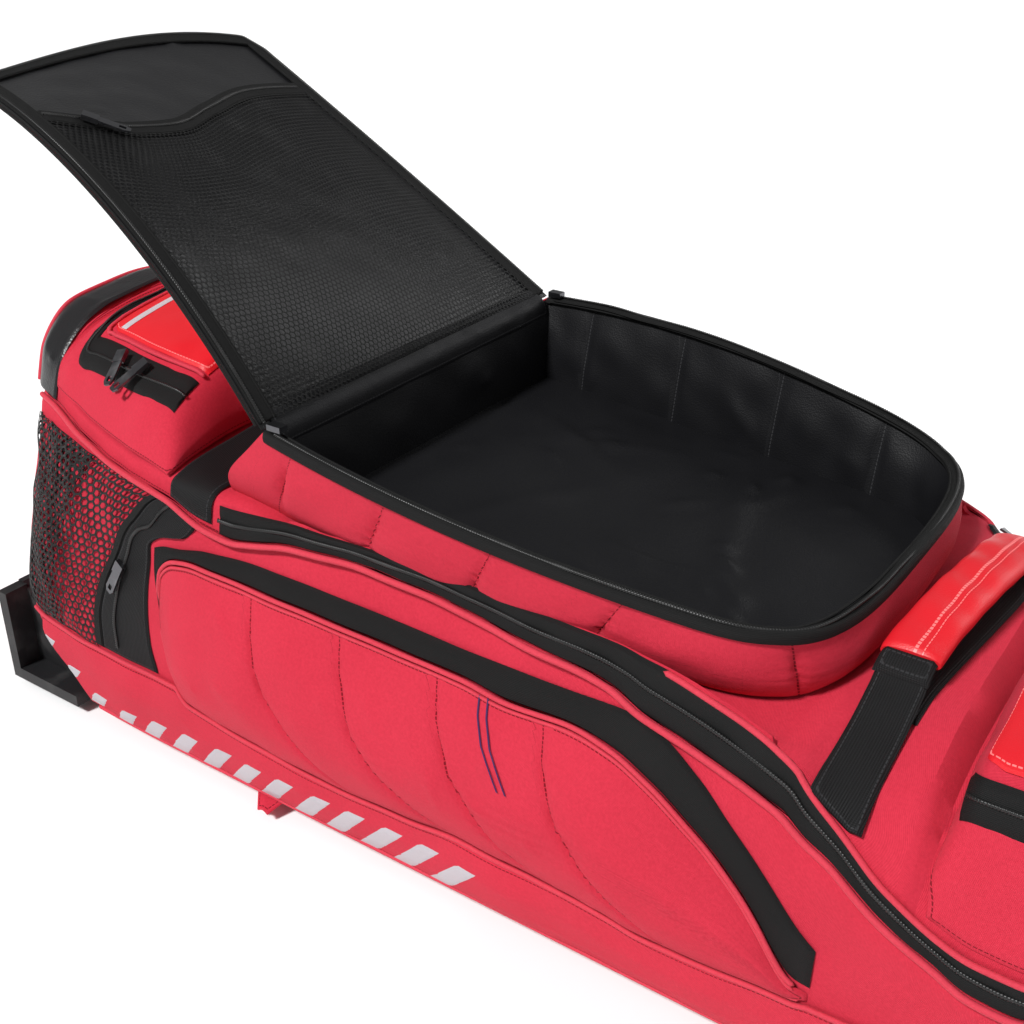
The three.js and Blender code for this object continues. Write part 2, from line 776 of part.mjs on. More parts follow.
function makeLid() {
  const across = [0, 0.02, 0.05, 0.12, 0.3, 0.5, 0.7, 0.88, 0.95, 0.98, 1];
  const grid = (share) => lidAlong.map((u) => across.map((w) => {
    const thickness = mix(lidHingeThickness, lidThickness, clamp(u / 0.05, 0, 1));
    return offsetFrom(lidInside, u, w, -thickness * share);
  }));
  solid('top_lid', wallTriangles(grid(0), grid(1)), red);

  const edgeShare = (u) => borderWidth / mix(rimWidthHinge, lidEndWidth, u);
  const endShare = 1 - borderWidth / lidLength;
  const hem = 0.003;
  const sides = [0.012, ...lidAlong.slice(1, -2), endShare];
  const rows = sides.map((u) => [[u, hem], [u, edgeShare(u)]]);
  rows.push([[1 - hem, 0.03], [endShare, edgeShare(1) + 0.01]]);
  for (const w of [0.12, 0.3, 0.5, 0.7, 0.88]) rows.push([[1 - hem, w], [endShare, w]]);
  rows.push([[1 - hem, 0.97], [endShare, 0.99 - edgeShare(1)]]);
  rows.push(...sides.reverse().map((u) => [[u, 1 - hem], [u, 1 - edgeShare(u)]]));
  skin('lid_border', lidInside, rows, black, { rest: skinSeat * 2.5 });

  const [cellsAlong, cellsAcross] = lidNetCells;
  const place = (u, w) => mix(edgeShare(u) + 0.004, 1 - edgeShare(u) - 0.004, w);
  const netPairs = steps(0, 1, cellsAlong).map((share) => steps(0, 1, cellsAcross).map((w) => {
    const u = mix(0.012, netTop(w) - 0.006, share);
    return [u, place(u, w), netLift * Math.sin(Math.PI * Math.sqrt(share)) * Math.sin(Math.PI * w)];
  }));
  net('lid_net_pocket', lidInside, netPairs, skinSeat * 4);
  const bindingShare = 16 / lidLength;
  const bindingPairs = steps(0, 1, cellsAcross).map((w) => [0, 1].map((share) => {
    const u = netTop(w) + bindingShare * share;
    return [u, place(u, w)];
  }));
  skin('lid_net_binding', lidInside, bindingPairs, black, { rest: skinSeat * 3 });
  placePuller('lid_net_puller', lidInside, 0.7, 0.15, [-0.05, 0.045], skinSeat * 5 + skinWall);
}

// Zip puller: a slider block with a flat holed tab hanging from it, laid on a surface.
function pullerGeometry() {
  const outline = new THREE.Shape();
  outline.moveTo(-4.5, 0);
  outline.lineTo(4.5, 0);
  outline.lineTo(5.5, 5 - pullerLength);
  outline.lineTo(3, -pullerLength);
  outline.lineTo(-3, -pullerLength);
  outline.lineTo(-5.5, 5 - pullerLength);
  outline.closePath();
  const hole = new THREE.Path();
  hole.moveTo(-2.2, 10 - pullerLength);
  hole.lineTo(-2.2, 4 - pullerLength);
  hole.lineTo(2.2, 4 - pullerLength);
  hole.lineTo(2.2, 10 - pullerLength);
  hole.closePath();
  outline.holes.push(hole);
  const tab = new THREE.ExtrudeGeometry(outline, { depth: 2, bevelEnabled: false });
  tab.translate(0, 2, 1.6);
  const slider = new THREE.BoxGeometry(11, 14, 4.5);
  slider.translate(0, 3, 2.25);
  return fromManifold(toManifold(tab).add(toManifold(slider)));
}

// The tab hangs the way the given step of the two parameters leads.
function placePuller(name, surface, a, b, step, rest) {
  const up = normalOf(surface, a, b);
  const here = surface.at(a, b);
  const back = here.clone().sub(surface.at(a + step[0], b + step[1]));
  back.addScaledVector(up, -back.dot(up)).normalize();
  const right = back.clone().cross(up);
  const mesh = piece(name, pullerGeometry(), metal, { roughness: 0.35, metalness: 0.9 });
  mesh.quaternion.setFromRotationMatrix(new THREE.Matrix4().makeBasis(right, back, up));
  mesh.position.copy(here).addScaledVector(up, rest);
}

// The pockets on top: a domed skin, a zip running round three sides of its cap, and the cap.
function makeTopPocket(prefix, span, surface, shares, capShares, bandEdges, turns) {
  const across = [-2.85, -2, -1.5, -1, 0, 1, 1.5, 2, 2.85];
  const stationsOf = (list) => list.map((share) => mix(span[0], span[1], share));
  const walls = { wall: clothWall, rest: skinSeat * 2 };
  skin(`${prefix}_pocket`, surface, pairGrid(stationsOf(shares), across), red, walls);

  const cap = stationsOf(capShares);
  const start = cap[0];
  const perMillimetre = (span[1] - span[0]) / (xAt(span[1]) - xAt(span[0]));
  const width = zipBandWidth * perMillimetre;
  const [low, high, flap] = bandEdges;
  const middle = 1.5;
  const side = (sign) => cap.map((station) => [low, middle, high].map((value) => [station, sign * value]));
  const turn = [
    // share of the band width turned, share of the low edge, share of the high edge
    [0.35, 0.98, 0.99],
    [0.65, 0.93, 0.97],
    [0.85, 0.86, 0.93],
    [0.97, 0.74, 0.84],
    [1, 0.45, 0.5],
  ];
  const end = (sign) => turn.map(([turned, lowShare, highShare]) => [
    [start - width * turned, sign * low * lowShare],
    [start - (width * turned) / 2, (sign * (low * lowShare + high * highShare)) / 2],
    [start, sign * high * highShare],
  ]);
  const centre = [[start - width, 0], [start - width / 2, 0], [start, 0]];
  const rest = skinSeat * 5.5 + clothWall;
  const rows = [...side(-1).reverse(), ...end(-1), centre, ...end(1).reverse(), ...side(1)];
  if (turns) skin(`${prefix}_pocket_zip`, surface, rows, black, { rest });
  for (const sign of turns ? [] : [-1, 1]) {
    skin(`${prefix}_pocket_zip_${names(sign)}`, surface, side(sign), black, { rest });
  }

  const inset = (millimetres) => start + millimetres * perMillimetre;
  const flapRow = (station, edge) => [-edge, -edge * 0.94, 0, edge * 0.94, edge].map((value) => [station, value]);
  const flapRows = [
    flapRow(inset(8), flap * 0.86),
    flapRow(inset(16), flap),
    ...cap.slice(1).map((station) => flapRow(station, flap)),
  ];
  skin(`${prefix}_pocket_cap`, surface, flapRows, brightRed, { rest });
  return { cap, inset, rest };
}

function makeShoePocket() {
  const shares = [0, 0.03, 0.09, 0.19, 0.35, 0.6, 0.85, 0.93, 0.98, 1];
  const { cap, inset, rest } = makeTopPocket(
    'shoe', shoeSpan, shoeSurface, shares, [0.19, 0.35, 0.6, 0.85, 0.92], [1.85, 1.24, 1.06], true,
  );
  const lift = rest + trimPipingRadius + skinSeat;
  const half = cap.slice(1).reverse().map((station) => [station, 1.15]);
  half.push([inset(16), 1.15], [inset(7), 1.12], [inset(3.6), 1.0], [inset(3.4), 0.6]);
  const mirrored = half.slice().reverse().map(([station, value]) => [station, -value]);
  const path = [...half, [inset(3.4), 0], ...mirrored];
  const points = path.map(([station, value]) => offsetFrom(shoeSurface, station, value, lift));
  tube('shoe_pocket_piping', points, trimPipingRadius, brightRed, 28);

  const strip = [-1.02, -0.98, -0.3].map((value) => [inset(19), value]);
  const wide = labelWidth / wheelEndLength;
  const rows = strip.map(([station, value]) => [[station, value], [station + wide, value]]);
  skin('label_strip', shoeSurface, rows, white, { wall: 0.8, rest: rest + skinWall + seat });
  const onZip = rest + skinWall + seat;
  placePuller('shoe_puller_left', shoeSurface, 0.42, -1.5, [0.01, -0.2], onZip);
  placePuller('shoe_puller_right', shoeSurface, 0.5, -1.5, [-0.01, -0.2], onZip);
}

// Strips of cloth lying on the upper skin
function stationsBetween(from, to) {
  return [from, ...bodyStations.filter((station) => station > from + 0.01 && station < to - 0.01), to];
}

function deckStrip(name, from, to, across, color, wall = skinWall) {
  skin(name, deck, pairGrid(stationsBetween(from, to), across), color, { wall, rest: skinSeat * 3 });
}

// The seam runs along both sides and round the handle end.
function seamPath(from, reach, heightOf) {
  const along = stationsBetween(from, 2.95);
  const onSide = (station, side) => {
    const eased = station > 2.9 ? reach * 1.6 : reach;
    return offsetFrom(sideSurface(side), station, heightOf(station), eased);
  };
  const endX = openingLength + handleEndLength + reach + seat * 2;
  const endZ = heightOf(3);
  const endHalf = sideHalfWidth(3, endZ);
  const onEnd = [-0.9, -0.5, 0, 0.5, 0.9].map((share) => new THREE.Vector3(endX, share * endHalf, endZ));
  const corner = (side) => new THREE.Vector3(endX - 1, side * (endHalf + reach * 2), endZ);
  return [
    ...along.map((station) => onSide(station, -1)),
    corner(-1),
    ...onEnd,
    corner(1),
    ...along.map((station) => onSide(station, 1)).reverse(),
  ];
}

function makeMainZip() {
  const low = (reach) => seamPath(zipStart, reach, (station) => seamZ(station) + pipingRadius * 2);
  const high = (reach) => seamPath(zipStart, reach, (station) => zipTopZ(station) - pipingRadius * 2.5);
  const face = (reach) => low(reach).map((point, i) => [point, high(reach)[i]]);
  const rest = skinSeat * 2;
  solid('main_zip_band', wallTriangles(face(rest + skinWall), face(rest)), black);
  tube('main_piping', seamPath(0.08, pipingRadius + skinSeat * 2, seamZ), pipingRadius, brightRed, 76);

  const arch = steps(-3.7, 3.7, 20).map((across) => offsetFrom(deck, 0.03, across, pipingRadius + skinSeat));
  tube('end_piping', arch, pipingRadius, brightRed, 22);
  const columns = [3.7, 3, 2, 1, 0, -1, -2, -3, -3.7];
  deckStrip('end_band', 0.042, 0.155, columns, black);
  deckStrip('girdle_band', stationAt(-girdleEnd - girdleWidth), stationAt(-girdleEnd), columns, black);
}

// Grab handle across the top. Rows run over half of the width.
const handleLiftRows = [
  // share of the half width, share of the lift
  [0, 1],
  [0.2, 0.94],
  [0.45, 0.69],
  [0.55, 0.31],
  [0.7, 0.06],
  [0.86, 0],
  [1, 0],
];
const handlePlaceRows = [
  // share of the half width, share of the handle end where its middle lies
  [-0.84, 0.152],
  [-0.49, 0.167],
  [-0.18, 0.207],
  [0.2, 0.25],
  [0.53, 0.262],
  [0.84, 0.265],
];
const handleRise = tableCurve(handleLiftRows, 1);
const handlePlace = tableCurve(handlePlaceRows, 1);

// The upper skin between opening and end pocket, facing straight up along the bag.
const upperSkinAcross = {
  at: (station, across) => {
    const point = deck.at(2.2, across);
    return new THREE.Vector3(xAt(station), point.y, Math.max(point.z, deck.at(station, across).z));
  },
  faces: awayFromCore,
};

function handleCentre(across) {
  const share = deck.at(2.22, across).y / halfWidth;
  return { station: 2 + handlePlace(share), lift: handleLift * handleRise(Math.abs(share)) };
}

function makeHandle() {
  const reach = webbingWidth / 2 / handleEndLength;
  const half = [2, 1.5, 1.3, 1.15, 1, 0.8, 0.5];
  const across = [-2.85, ...half.map((value) => -value), 0, ...half.slice(1).reverse(), 1.95];
  const pairs = across.map((value) => {
    const { station, lift } = handleCentre(value);
    return [[station - reach, value, lift], [station + reach, value, lift]];
  });
  skin('grab_handle', upperSkinAcross, pairs, black, { wall: webbingWall, rest: skinSeat * 2 });

  const loop = (wide, thick) => [[-1, -1], [0, -1.15], [1, -1], [1, 1], [0, 1.15], [-1, 1]]
    .map(([along, up]) => [along * wide, up * thick]);
  const ring = (wide, thick) => loop(wide, thick).map(([along, up]) => (
    [-1, -0.8, -0.5, 0, 0.5, 0.8, 1].map((value) => {
      const { station, lift } = handleCentre(value);
      const height = skinSeat * 2 + lift + webbingWall / 2 + up;
      return offsetFrom(upperSkinAcross, station + along / handleEndLength, value, height);
    })
  ));
  const outer = ring(webbingWidth / 2 + sleeveWall + 1.5, webbingWall / 2 + sleeveWall);
  const inner = ring(webbingWidth / 2 + 1.5, webbingWall / 2 + 1);
  solid('grab_sleeve', wallTriangles(outer, inner, true), brightRed);

  const strapPairs = pairGrid([2.01, 2.06, 2.15], [2.1, 2.4, 2.7]);
  skin('far_strap', deck, strapPairs, black, { wall: webbingWall, rest: skinSeat * 3 });
  const fitting = skinSeat * 5 + webbingWall;
  skin('far_strap_fitting', deck, pairGrid([2.05, 2.06, 2.13], [2.2, 2.4, 2.6]), metal, { rest: fitting });
}

// Side pocket leaf, over a length from leafStart to leafEnd
const leafRows = [
  // share of the leaf, lower edge, top edge, top of its zip, all as shares of the bag height
  [0, 0.432, 0.44, 0.61],
  [0.02, 0.305, 0.561, 0.622],
  [0.05, 0.249, 0.595, 0.629],
  [0.1, 0.237, 0.607, 0.646],
  [0.22, 0.222, 0.607, 0.663],
  [0.33, 0.215, 0.605, 0.663],
  [0.44, 0.22, 0.602, 0.659],
  [0.54, 0.234, 0.6, 0.656],
  [0.61, 0.229, 0.588, 0.656],
  [0.68, 0.229, 0.593, 0.656],
  [0.745, 0.22, 0.576, 0.659],
  [0.795, 0.21, 0.541, 0.639],
  [0.845, 0.212, 0.488, 0.585],
  [0.89, 0.217, 0.429, 0.52],
  [0.935, 0.222, 0.349, 0.449],
  [0.98, 0.224, 0.254, 0.371],
  [1, 0.232, 0.245, 0.341],
];
const leafLow = tableCurve(leafRows, 1);
const leafHigh = tableCurve(leafRows, 2);
const leafZip = tableCurve(leafRows, 3);
const leafColumns = [
  0.004, 0.02, 0.05, 0.1, 0.15, 0.175, 0.2, 0.3, 0.325, 0.35, 0.455, 0.48, 0.505, 0.605, 0.63,
  0.655, 0.745, 0.795, 0.845, 0.89, 0.935, 0.998,
];
const quiltGrooves = [0.175, 0.325, 0.48, 0.63];
const netEdgeRows = [
  // height as a share of the bag height, right edge of the net, right edge of the zip panel
  [0.273, -0.577, -0.385],
  [0.366, -0.572, -0.405],
  [0.468, -0.537, -0.4],
  [0.578, -0.471, -0.378],
  [0.61, -0.455, -0.376],
  [0.64, -0.435, -0.34],
  [0.659, -0.418, -0.263],
  [0.707, -0.375, -0.215],
  [0.744, -0.316, -0.167],
];
const netEdge = tableCurve(netEdgeRows, 1);
const panelEdge = tableCurve(netEdgeRows, 2);

function leafX(share) {
  return mix(xAt(leafStart), xAt(leafEnd), share);
}

function leafSwell(share) {
  const ends = Math.min(share / 0.12, (1 - share) / 0.3, 1);
  return Math.sin((Math.PI / 2) * clamp(ends, 0, 1));
}

function panelTopZ(station) {
  const share = clamp((xAt(station) - leafX(0)) / (leafX(1) - leafX(0)), 0, 1);
  return Math.min(panelTopShare * bagHeight, bagHeight * leafLow(share) - trimPipingRadius * 3);
}

function makeSide(side) {
  const name = names(side);
  const surface = sideSurface(side);
  const leafPairs = leafColumns.map((column) => steps(0, 1, 5).map((v) => {
    const slanted = clamp(Math.min(column / 0.12, (1 - column) / 0.3), 0, 1);
    const share = column + quiltSlant * slanted * (1 - v) * (column > 0.01 ? 1 : 0);
    const groove = quiltGrooves.includes(column) ? quiltDepth * Math.sin(Math.PI * v) : 0;
    const swell = leafDepth * Math.sin(Math.PI * v ** 0.8) + leafTopLift * v;
    const z = bagHeight * mix(leafLow(share), leafHigh(share), v);
    return [stationAt(leafX(share)), z, Math.max(leafSwell(share) * (swell - groove), 0)];
  }));
  skin(`side_pocket_${name}`, surface, leafPairs, red);
  const zipShares = leafRows.map((row) => row[0]);
  const zipPairs = zipShares.map((share) => [
    [stationAt(leafX(share)), bagHeight * leafHigh(share) + trimPipingRadius * 4.5, leafSwell(share) * leafTopLift],
    [stationAt(leafX(share)), bagHeight * leafZip(share)],
  ]);
  skin(`side_pocket_zip_${name}`, surface, zipPairs, black, { rest: skinSeat * 2 });
  const topPath = leafColumns.filter((share) => share > 0.03 && share < 0.99).map((share) => {
    const z = bagHeight * leafHigh(share) + trimPipingRadius * 2;
    const lift = leafSwell(share) * leafTopLift + trimPipingRadius + skinSeat;
    return offsetFrom(surface, stationAt(leafX(share)), z, lift);
  });
  tube(`side_pocket_piping_${name}`, topPath, trimPipingRadius, brightRed, 24);

  const left = -wheelEndLength * netStart;
  const [across, up] = sideNetCells;
  const place = (x, z) => [stationAt(x), Math.min(z, seamZ(stationAt(x)) - pipingRadius * 2)];
  const lowZ = panelTopShare * bagHeight + pipingRadius * 2;
  const highZ = netEdgeRows[netEdgeRows.length - 1][0] * bagHeight;
  const netPairs = steps(0, 1, across).map((u) => steps(0, 1, up).map((v) => {
    const z = mix(lowZ, highZ, v);
    const right = wheelEndLength * netEdge(z / bagHeight) - bindingWidth - 4;
    return [...place(mix(left, right, u), z), netPocketDepth * Math.sin(Math.PI * u) * Math.sin(Math.PI * v ** 0.7)];
  }));
  net(`net_pocket_${name}`, surface, netPairs, skinSeat * 3);
  const upright = (name1, from, to, count) => {
    const pairs = steps(0, 1, up).map((v) => steps(0, 1, count).map((u) => {
      const z = mix(lowZ, highZ, v);
      return place(mix(from(z / bagHeight), to(z / bagHeight), u), z);
    }));
    skin(name1, surface, pairs, black);
  };
  const edge = (z) => wheelEndLength * netEdge(z);
  upright(`net_binding_${name}`, (z) => edge(z) - bindingWidth, (z) => edge(z) - 1, 1);
  upright(`zip_panel_${name}`, edge, (z) => wheelEndLength * panelEdge(z), 2);
  placePuller(`zip_panel_puller_${name}`, surface, 0.53, bagHeight * 0.5244, [-0.03, -20], skinSeat * 2 + skinWall);

  const panelStations = [0.14, ...stationsBetween(0.2, 2.8)];
  const panelPairs = panelStations.map((station) => {
    const top = panelTopZ(station) - trimPipingRadius - 2;
    const low = Math.min(bottomZ(xAt(station)) + bottomCorner + 2, top - 6);
    return [[station, low], [station, top]];
  });
  skin(`lower_panel_${name}`, surface, panelPairs, red);
  const along = (from, to, count, heightOf, lift) => steps(xAt(from), xAt(to), count).map((x) => (
    offsetFrom(surface, stationAt(x), heightOf(stationAt(x)), lift)
  ));
  const panelLine = along(0.1, 2.78, 26, panelTopZ, trimPipingRadius + 1);
  tube(`lower_piping_${name}`, panelLine, trimPipingRadius, brightRed, 24);
  const corner = steps(xAt(0.32), xAt(2.78), 12).map((x) => {
    const bottom = bottomZ(x);
    const y = sideHalfWidth(stationAt(x), bottom + bottomCorner) - 3.6;
    return new THREE.Vector3(x, side * y, bottom + 7.8);
  });
  tube(`bottom_piping_${name}`, corner, trimPipingRadius, brightRed, 14);
}

// Base, runners, wheel housings and wheels
function profile(points) {
  return new THREE.Shape(points.map(([x, z]) => new THREE.Vector2(x, z)));
}

// A profile in the upright plane, drawn out sideways from one y to another.
function sideways(points, from, to) {
  const geometry = new THREE.ExtrudeGeometry(profile(points), { depth: to - from, bevelEnabled: false });
  geometry.rotateX(Math.PI / 2);
  geometry.translate(0, to, 0);
  return geometry;
}

function cylinderAcross(radius, from, to, x, z, sides) {
  const geometry = new THREE.CylinderGeometry(radius, radius, to - from, sides);
  geometry.translate(x, (from + to) / 2, z);
  return geometry;
}

function makeBase() {
  const under = groundClearance - seat;
  const stations = [stationAt(cornerLength - wheelEndLength + 2), 0.6, 1, 1.5, 2, 2.4, 2.8, 2.93];
  const grid = (z) => stations.map((station) => [-1, 1].map((sign) => {
    const half = Math.min(basePanelWidth / 2, sideHalfWidth(station, under + bottomCorner) - bottomCorner);
    return new THREE.Vector3(xAt(station), sign * half, z);
  }));
  solid('base_panel', wallTriangles(grid(under), grid(under - basePanelWall)), black);

  const top = under - basePanelWall - seat;
  const from = cornerLength - wheelEndLength + 5;
  const to = openingLength + handleEndLength * 0.88;
  const runner = [[from, top], [from + 8, 0], [to - 8, 0], [to, top]];
  const x = wheelSetBack - wheelEndLength;
  const clear = 0.6;
  const back = -wheelEndLength - guardProud;
  const block = [
    [back, guardUnderside],
    [cornerLength - wheelEndLength - 4, guardUnderside],
    [-wheelEndLength - clear * 0.67, groundClearance + cornerHeight - clear * 0.74],
    [back, groundClearance + cornerHeight - clear * 0.74],
  ];
  const upright = [
    [back, guardUnderside],
    [back + guardLength, guardUnderside],
    [back + guardLength, guardUnderside + guardThickness],
    [back + guardThickness, guardUnderside + guardThickness],
    [back + guardThickness, groundClearance + cornerHeight - 2],
    [back, groundClearance + cornerHeight - 2],
  ];
  const wheelOuter = [
    [axleRadius + axlePlay, -0.5],
    [wheelRadius * 0.62, -0.5],
    [wheelRadius * 0.7, -0.36],
    [wheelRadius * 0.93, -0.5],
    [wheelRadius, -0.38],
    [wheelRadius, 0.38],
    [wheelRadius * 0.93, 0.5],
    [wheelRadius * 0.7, 0.36],
    [wheelRadius * 0.62, 0.5],
    [axleRadius + axlePlay, 0.5],
    [axleRadius + axlePlay, -0.5],
  ];
  for (const side of [-1, 1]) {
    const name = names(side);
    const span = (a, b) => (side < 0 ? [-b, -a] : [a, b]);
    piece(`base_runner_${name}`, sideways(runner, ...span(
      runnerSide - runnerWidth / 2, runnerSide + runnerWidth / 2,
    )), black);
    const slotSpan = span(wheelSide - wheelWidth / 2 - wheelPlay, wheelSide + wheelWidth / 2 + wheelPlay);
    const axleSpan = [slotSpan[0] - 1, slotSpan[1] + 1];
    const block1 = toManifold(sideways(block, ...span(housingInnerSide, housingOuterSide)));
    const guard = toManifold(sideways(upright, ...span(housingOuterSide - 1, guardSide)));
    const slot = toManifold(cylinderAcross(wheelRadius + 3, ...slotSpan, x, wheelRadius, 32));
    const axle = toManifold(cylinderAcross(axleRadius, ...axleSpan, x, wheelRadius, 16));
    const body = block1.add(guard).subtract(slot).add(axle);
    piece(`wheel_housing_${name}`, fromManifold(body), black);

    const points = wheelOuter.map(([radius, share]) => new THREE.Vector2(radius, share * wheelWidth));
    const wheel = piece(`wheel_${name}`, fromManifold(toManifold(new THREE.LatheGeometry(points, 18))), black);
    wheel.position.set(x, side * wheelSide, wheelRadius);
  }
  const tab = new THREE.BoxGeometry(webbingWidth, 22, webbingWall);
  const mesh = piece('base_tab', tab, black);
  mesh.position.set(-33, -halfWidth + 10, groundClearance + webbingWall / 2 + 1);
}

makeShell();
makeCompartment();
makeLid();
makeMainZip();
makeShoePocket();
const endShares = [0, 0.05, 0.12, 0.22, 0.42, 0.67, 0.86, 0.95, 1];
makeTopPocket('end', endSpan, endSurface, endShares, [0.22, 0.42, 0.67, 0.84], [1.95, 1.2, 1], false);
makeHandle();
for (const side of [-1, 1]) makeSide(side);
makeBase();

// Origin: middle of the ground rectangle under the whole bag
const extent = new THREE.Box3().setFromObject(bag);
bag.position.set(-(extent.min.x + extent.max.x) / 2, -(extent.min.y + extent.max.y) / 2, -extent.min.z);

export default bag;
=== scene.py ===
"""Looks of a wheeled kit bag: its cloth, zips, piping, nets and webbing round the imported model.

Lengths in the shape functions are millimetres. x counts from the hinge line of the lid, y to the far
side and z up from the floor. sew() moves them into the row frame, in metres.
"""
import math

import bmesh
import bpy
import numpy as np
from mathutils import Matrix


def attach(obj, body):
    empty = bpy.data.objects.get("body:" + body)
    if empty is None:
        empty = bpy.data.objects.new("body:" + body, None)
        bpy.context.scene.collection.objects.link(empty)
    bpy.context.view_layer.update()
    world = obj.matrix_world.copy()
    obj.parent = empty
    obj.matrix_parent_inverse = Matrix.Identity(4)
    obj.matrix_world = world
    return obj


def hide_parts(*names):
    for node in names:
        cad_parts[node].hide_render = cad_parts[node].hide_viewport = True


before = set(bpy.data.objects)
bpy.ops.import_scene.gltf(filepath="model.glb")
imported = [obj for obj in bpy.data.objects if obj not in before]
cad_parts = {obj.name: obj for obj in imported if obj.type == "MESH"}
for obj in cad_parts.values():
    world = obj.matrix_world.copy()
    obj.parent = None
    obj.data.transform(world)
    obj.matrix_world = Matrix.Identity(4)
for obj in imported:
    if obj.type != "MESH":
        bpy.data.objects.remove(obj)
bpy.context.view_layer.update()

HINGE_PLACE = np.array([-131.4, 0.0, 0.0])

# Sizes of the bag
WHEEL_END, OPENING, HANDLE_END = 395.0, 467.0, 198.0
HALF_WIDTH, HEIGHT, GROUND = 225.0, 410.0, 14.0
LAND = [-WHEEL_END, 0.0, OPENING, OPENING + HANDLE_END]

# Top compartment and lid
RIM_HEIGHT, RIM_DROP = 394.0, 50.0
RIM_WIDTH_HINGE, RIM_WIDTH_END = 412.0, 367.0
RIM_BOW = {-1: 20.0, 1: 4.0}
RIM_LIFT_FAR, RIM_CORNER, CORNER_POWER = 20.0, 100.0, 3.5
DEPTH_HINGE, DEPTH_END = 72.0, 53.0
LID_LENGTH, LID_END_WIDTH, LID_REST = 430.0, 362.0, 1.6
LID_END_BOW, LID_CORNER, LID_THICKNESS = 37.0, 18.0, 7.0
LID_ANGLES = {-1: (116.0, 176.0), 1: (149.0, 148.0)}
LID_BORDER = 17.0

# Side pockets and nets
LEAF_START, LEAF_END = -140.2, 500.3
LEAF_DEPTH, LEAF_TOP_LIFT = 25.0, 7.0
QUILT_TOPS = (-12.0, 86.0, 183.0, 279.0)
BOTTOM_CORNER, CORNER_LENGTH, CORNER_HEIGHT = 24.0, 115.0, 104.0
PANEL_TOP = 0.273
STITCH_INSET = 3.4
WALL_ROWS = 17
STRIPE_FEET = (-345, -315, -280.5, -238, -199, -158.5, -116, -77, -39, 3, 41, 81, 119, 159)
HANDLE_LIFT, WEBBING = 32.0, 38.0
PRINT_PLACES = (224.0, 231.5)
NET_LEFT, NET_LOW, NET_HIGH = -WHEEL_END * 0.925, PANEL_TOP * HEIGHT + 4, 0.744 * HEIGHT
PANEL_START, PANEL_END, PANEL_FOOT = -338.0, 620.0, 7.5

# Wheels
WHEEL_X, WHEEL_Y, WHEEL_RADIUS, WHEEL_WIDTH = -372.0, 152.0, 38.0, 24.0

# Stitching and sewn lines
QUILT_REACH, NO_SEAM = 6.0, 99.0
BOX_SEAMS = (
    # place at the rim, how far the seam runs back at the foot
    (36.0, 42.0), (134.0, 41.0), (230.0, 39.0), (333.0, 41.0), (437.0, -2.0),
)
LINING_SEAMS = (60.0, 165.0, 270.0, 372.0)

# Camera and light
LENS, SENSOR = 45.70, 36.0
CAMERA_PLACE = (0.56482, -0.86846, 0.81419)
CAMERA_DOWN, CAMERA_ROUND = 27.55, 34.56
ROOM_LIGHT, FLOOR_SIZE = 0.24, 80
SUNS = (
    # name, its three turns and its spread in degrees, strength
    ("key_sun", (40, 0, -14), 9, 3.7),
    ("side_sun", (62, 0, 96), 40, 0.3),
    ("rim_sun", (-58, 0, -20), 30, 0.7),
)

# Tables of the body's lines
SIDE_HEIGHTS = (0.054, 0.273, 0.488, 0.732, 0.83)
SIDE_ROWS = (
    # station, at the base, low, middle, high, top, as shares of the half width
    (0.0, 0.82, 0.78, 0.69, 0.56, 0.5),
    (0.03, 0.88, 0.85, 0.76, 0.62, 0.57),
    (0.08, 0.92, 0.9, 0.81, 0.68, 0.63),
    (0.2, 0.945, 0.95, 0.885, 0.755, 0.69),
    (0.37, 0.955, 0.985, 0.94, 0.84, 0.775),
    (0.56, 0.96, 1.0, 0.98, 0.91, 0.84),
    (0.75, 0.96, 1.0, 0.985, 0.92, 0.875),
    (1.0, 0.96, 1.0, 0.985, 0.92, 0.88),
    (1.5, 0.955, 0.995, 0.98, 0.92, 0.88),
    (2.0, 0.95, 0.99, 0.975, 0.9, 0.86),
    (2.4, 0.945, 0.98, 0.965, 0.88, 0.84),
    (2.8, 0.93, 0.965, 0.945, 0.86, 0.8),
    (2.93, 0.89, 0.925, 0.905, 0.82, 0.77),
    (2.98, 0.84, 0.875, 0.855, 0.77, 0.72),
    (3.0, 0.77, 0.81, 0.79, 0.72, 0.68),
)
SEAM_ROWS = (
    # station, main seam, top of the main zip band, as shares of the height
    (0.0, 0.79, 0.83), (0.08, 0.79, 0.825), (0.37, 0.762, 0.8), (0.56, 0.747, 0.785),
    (0.7, 0.73, 0.77), (0.8, 0.7, 0.757), (0.88, 0.69, 0.758), (0.96, 0.705, 0.765),
    (1.06, 0.727, 0.772), (1.2, 0.739, 0.777), (1.34, 0.735, 0.78), (1.52, 0.715, 0.775),
    (1.7, 0.69, 0.77), (1.76, 0.66, 0.757), (1.85, 0.632, 0.735), (1.94, 0.6, 0.7),
    (2.06, 0.55, 0.635), (2.18, 0.522, 0.59), (2.36, 0.456, 0.52), (2.55, 0.41, 0.47),
    (2.67, 0.385, 0.452), (3.0, 0.37, 0.44),
)
POCKET_ROWS = (
    # station, shoulder width, shoulder height, top width, top height, crown height
    (0.155, 0.645, 0.88, 0.43, 0.96, 0.995), (0.37, 0.72, 0.888, 0.51, 0.962, 1.005),
    (0.56, 0.78, 0.888, 0.56, 0.96, 1.01), (0.75, 0.8, 0.87, 0.56, 0.945, 0.99),
    (2.38, 0.845, 0.655, 0.77, 0.735, 0.775), (2.7, 0.85, 0.655, 0.78, 0.742, 0.785),
    (2.95, 0.8, 0.65, 0.72, 0.73, 0.765),
)
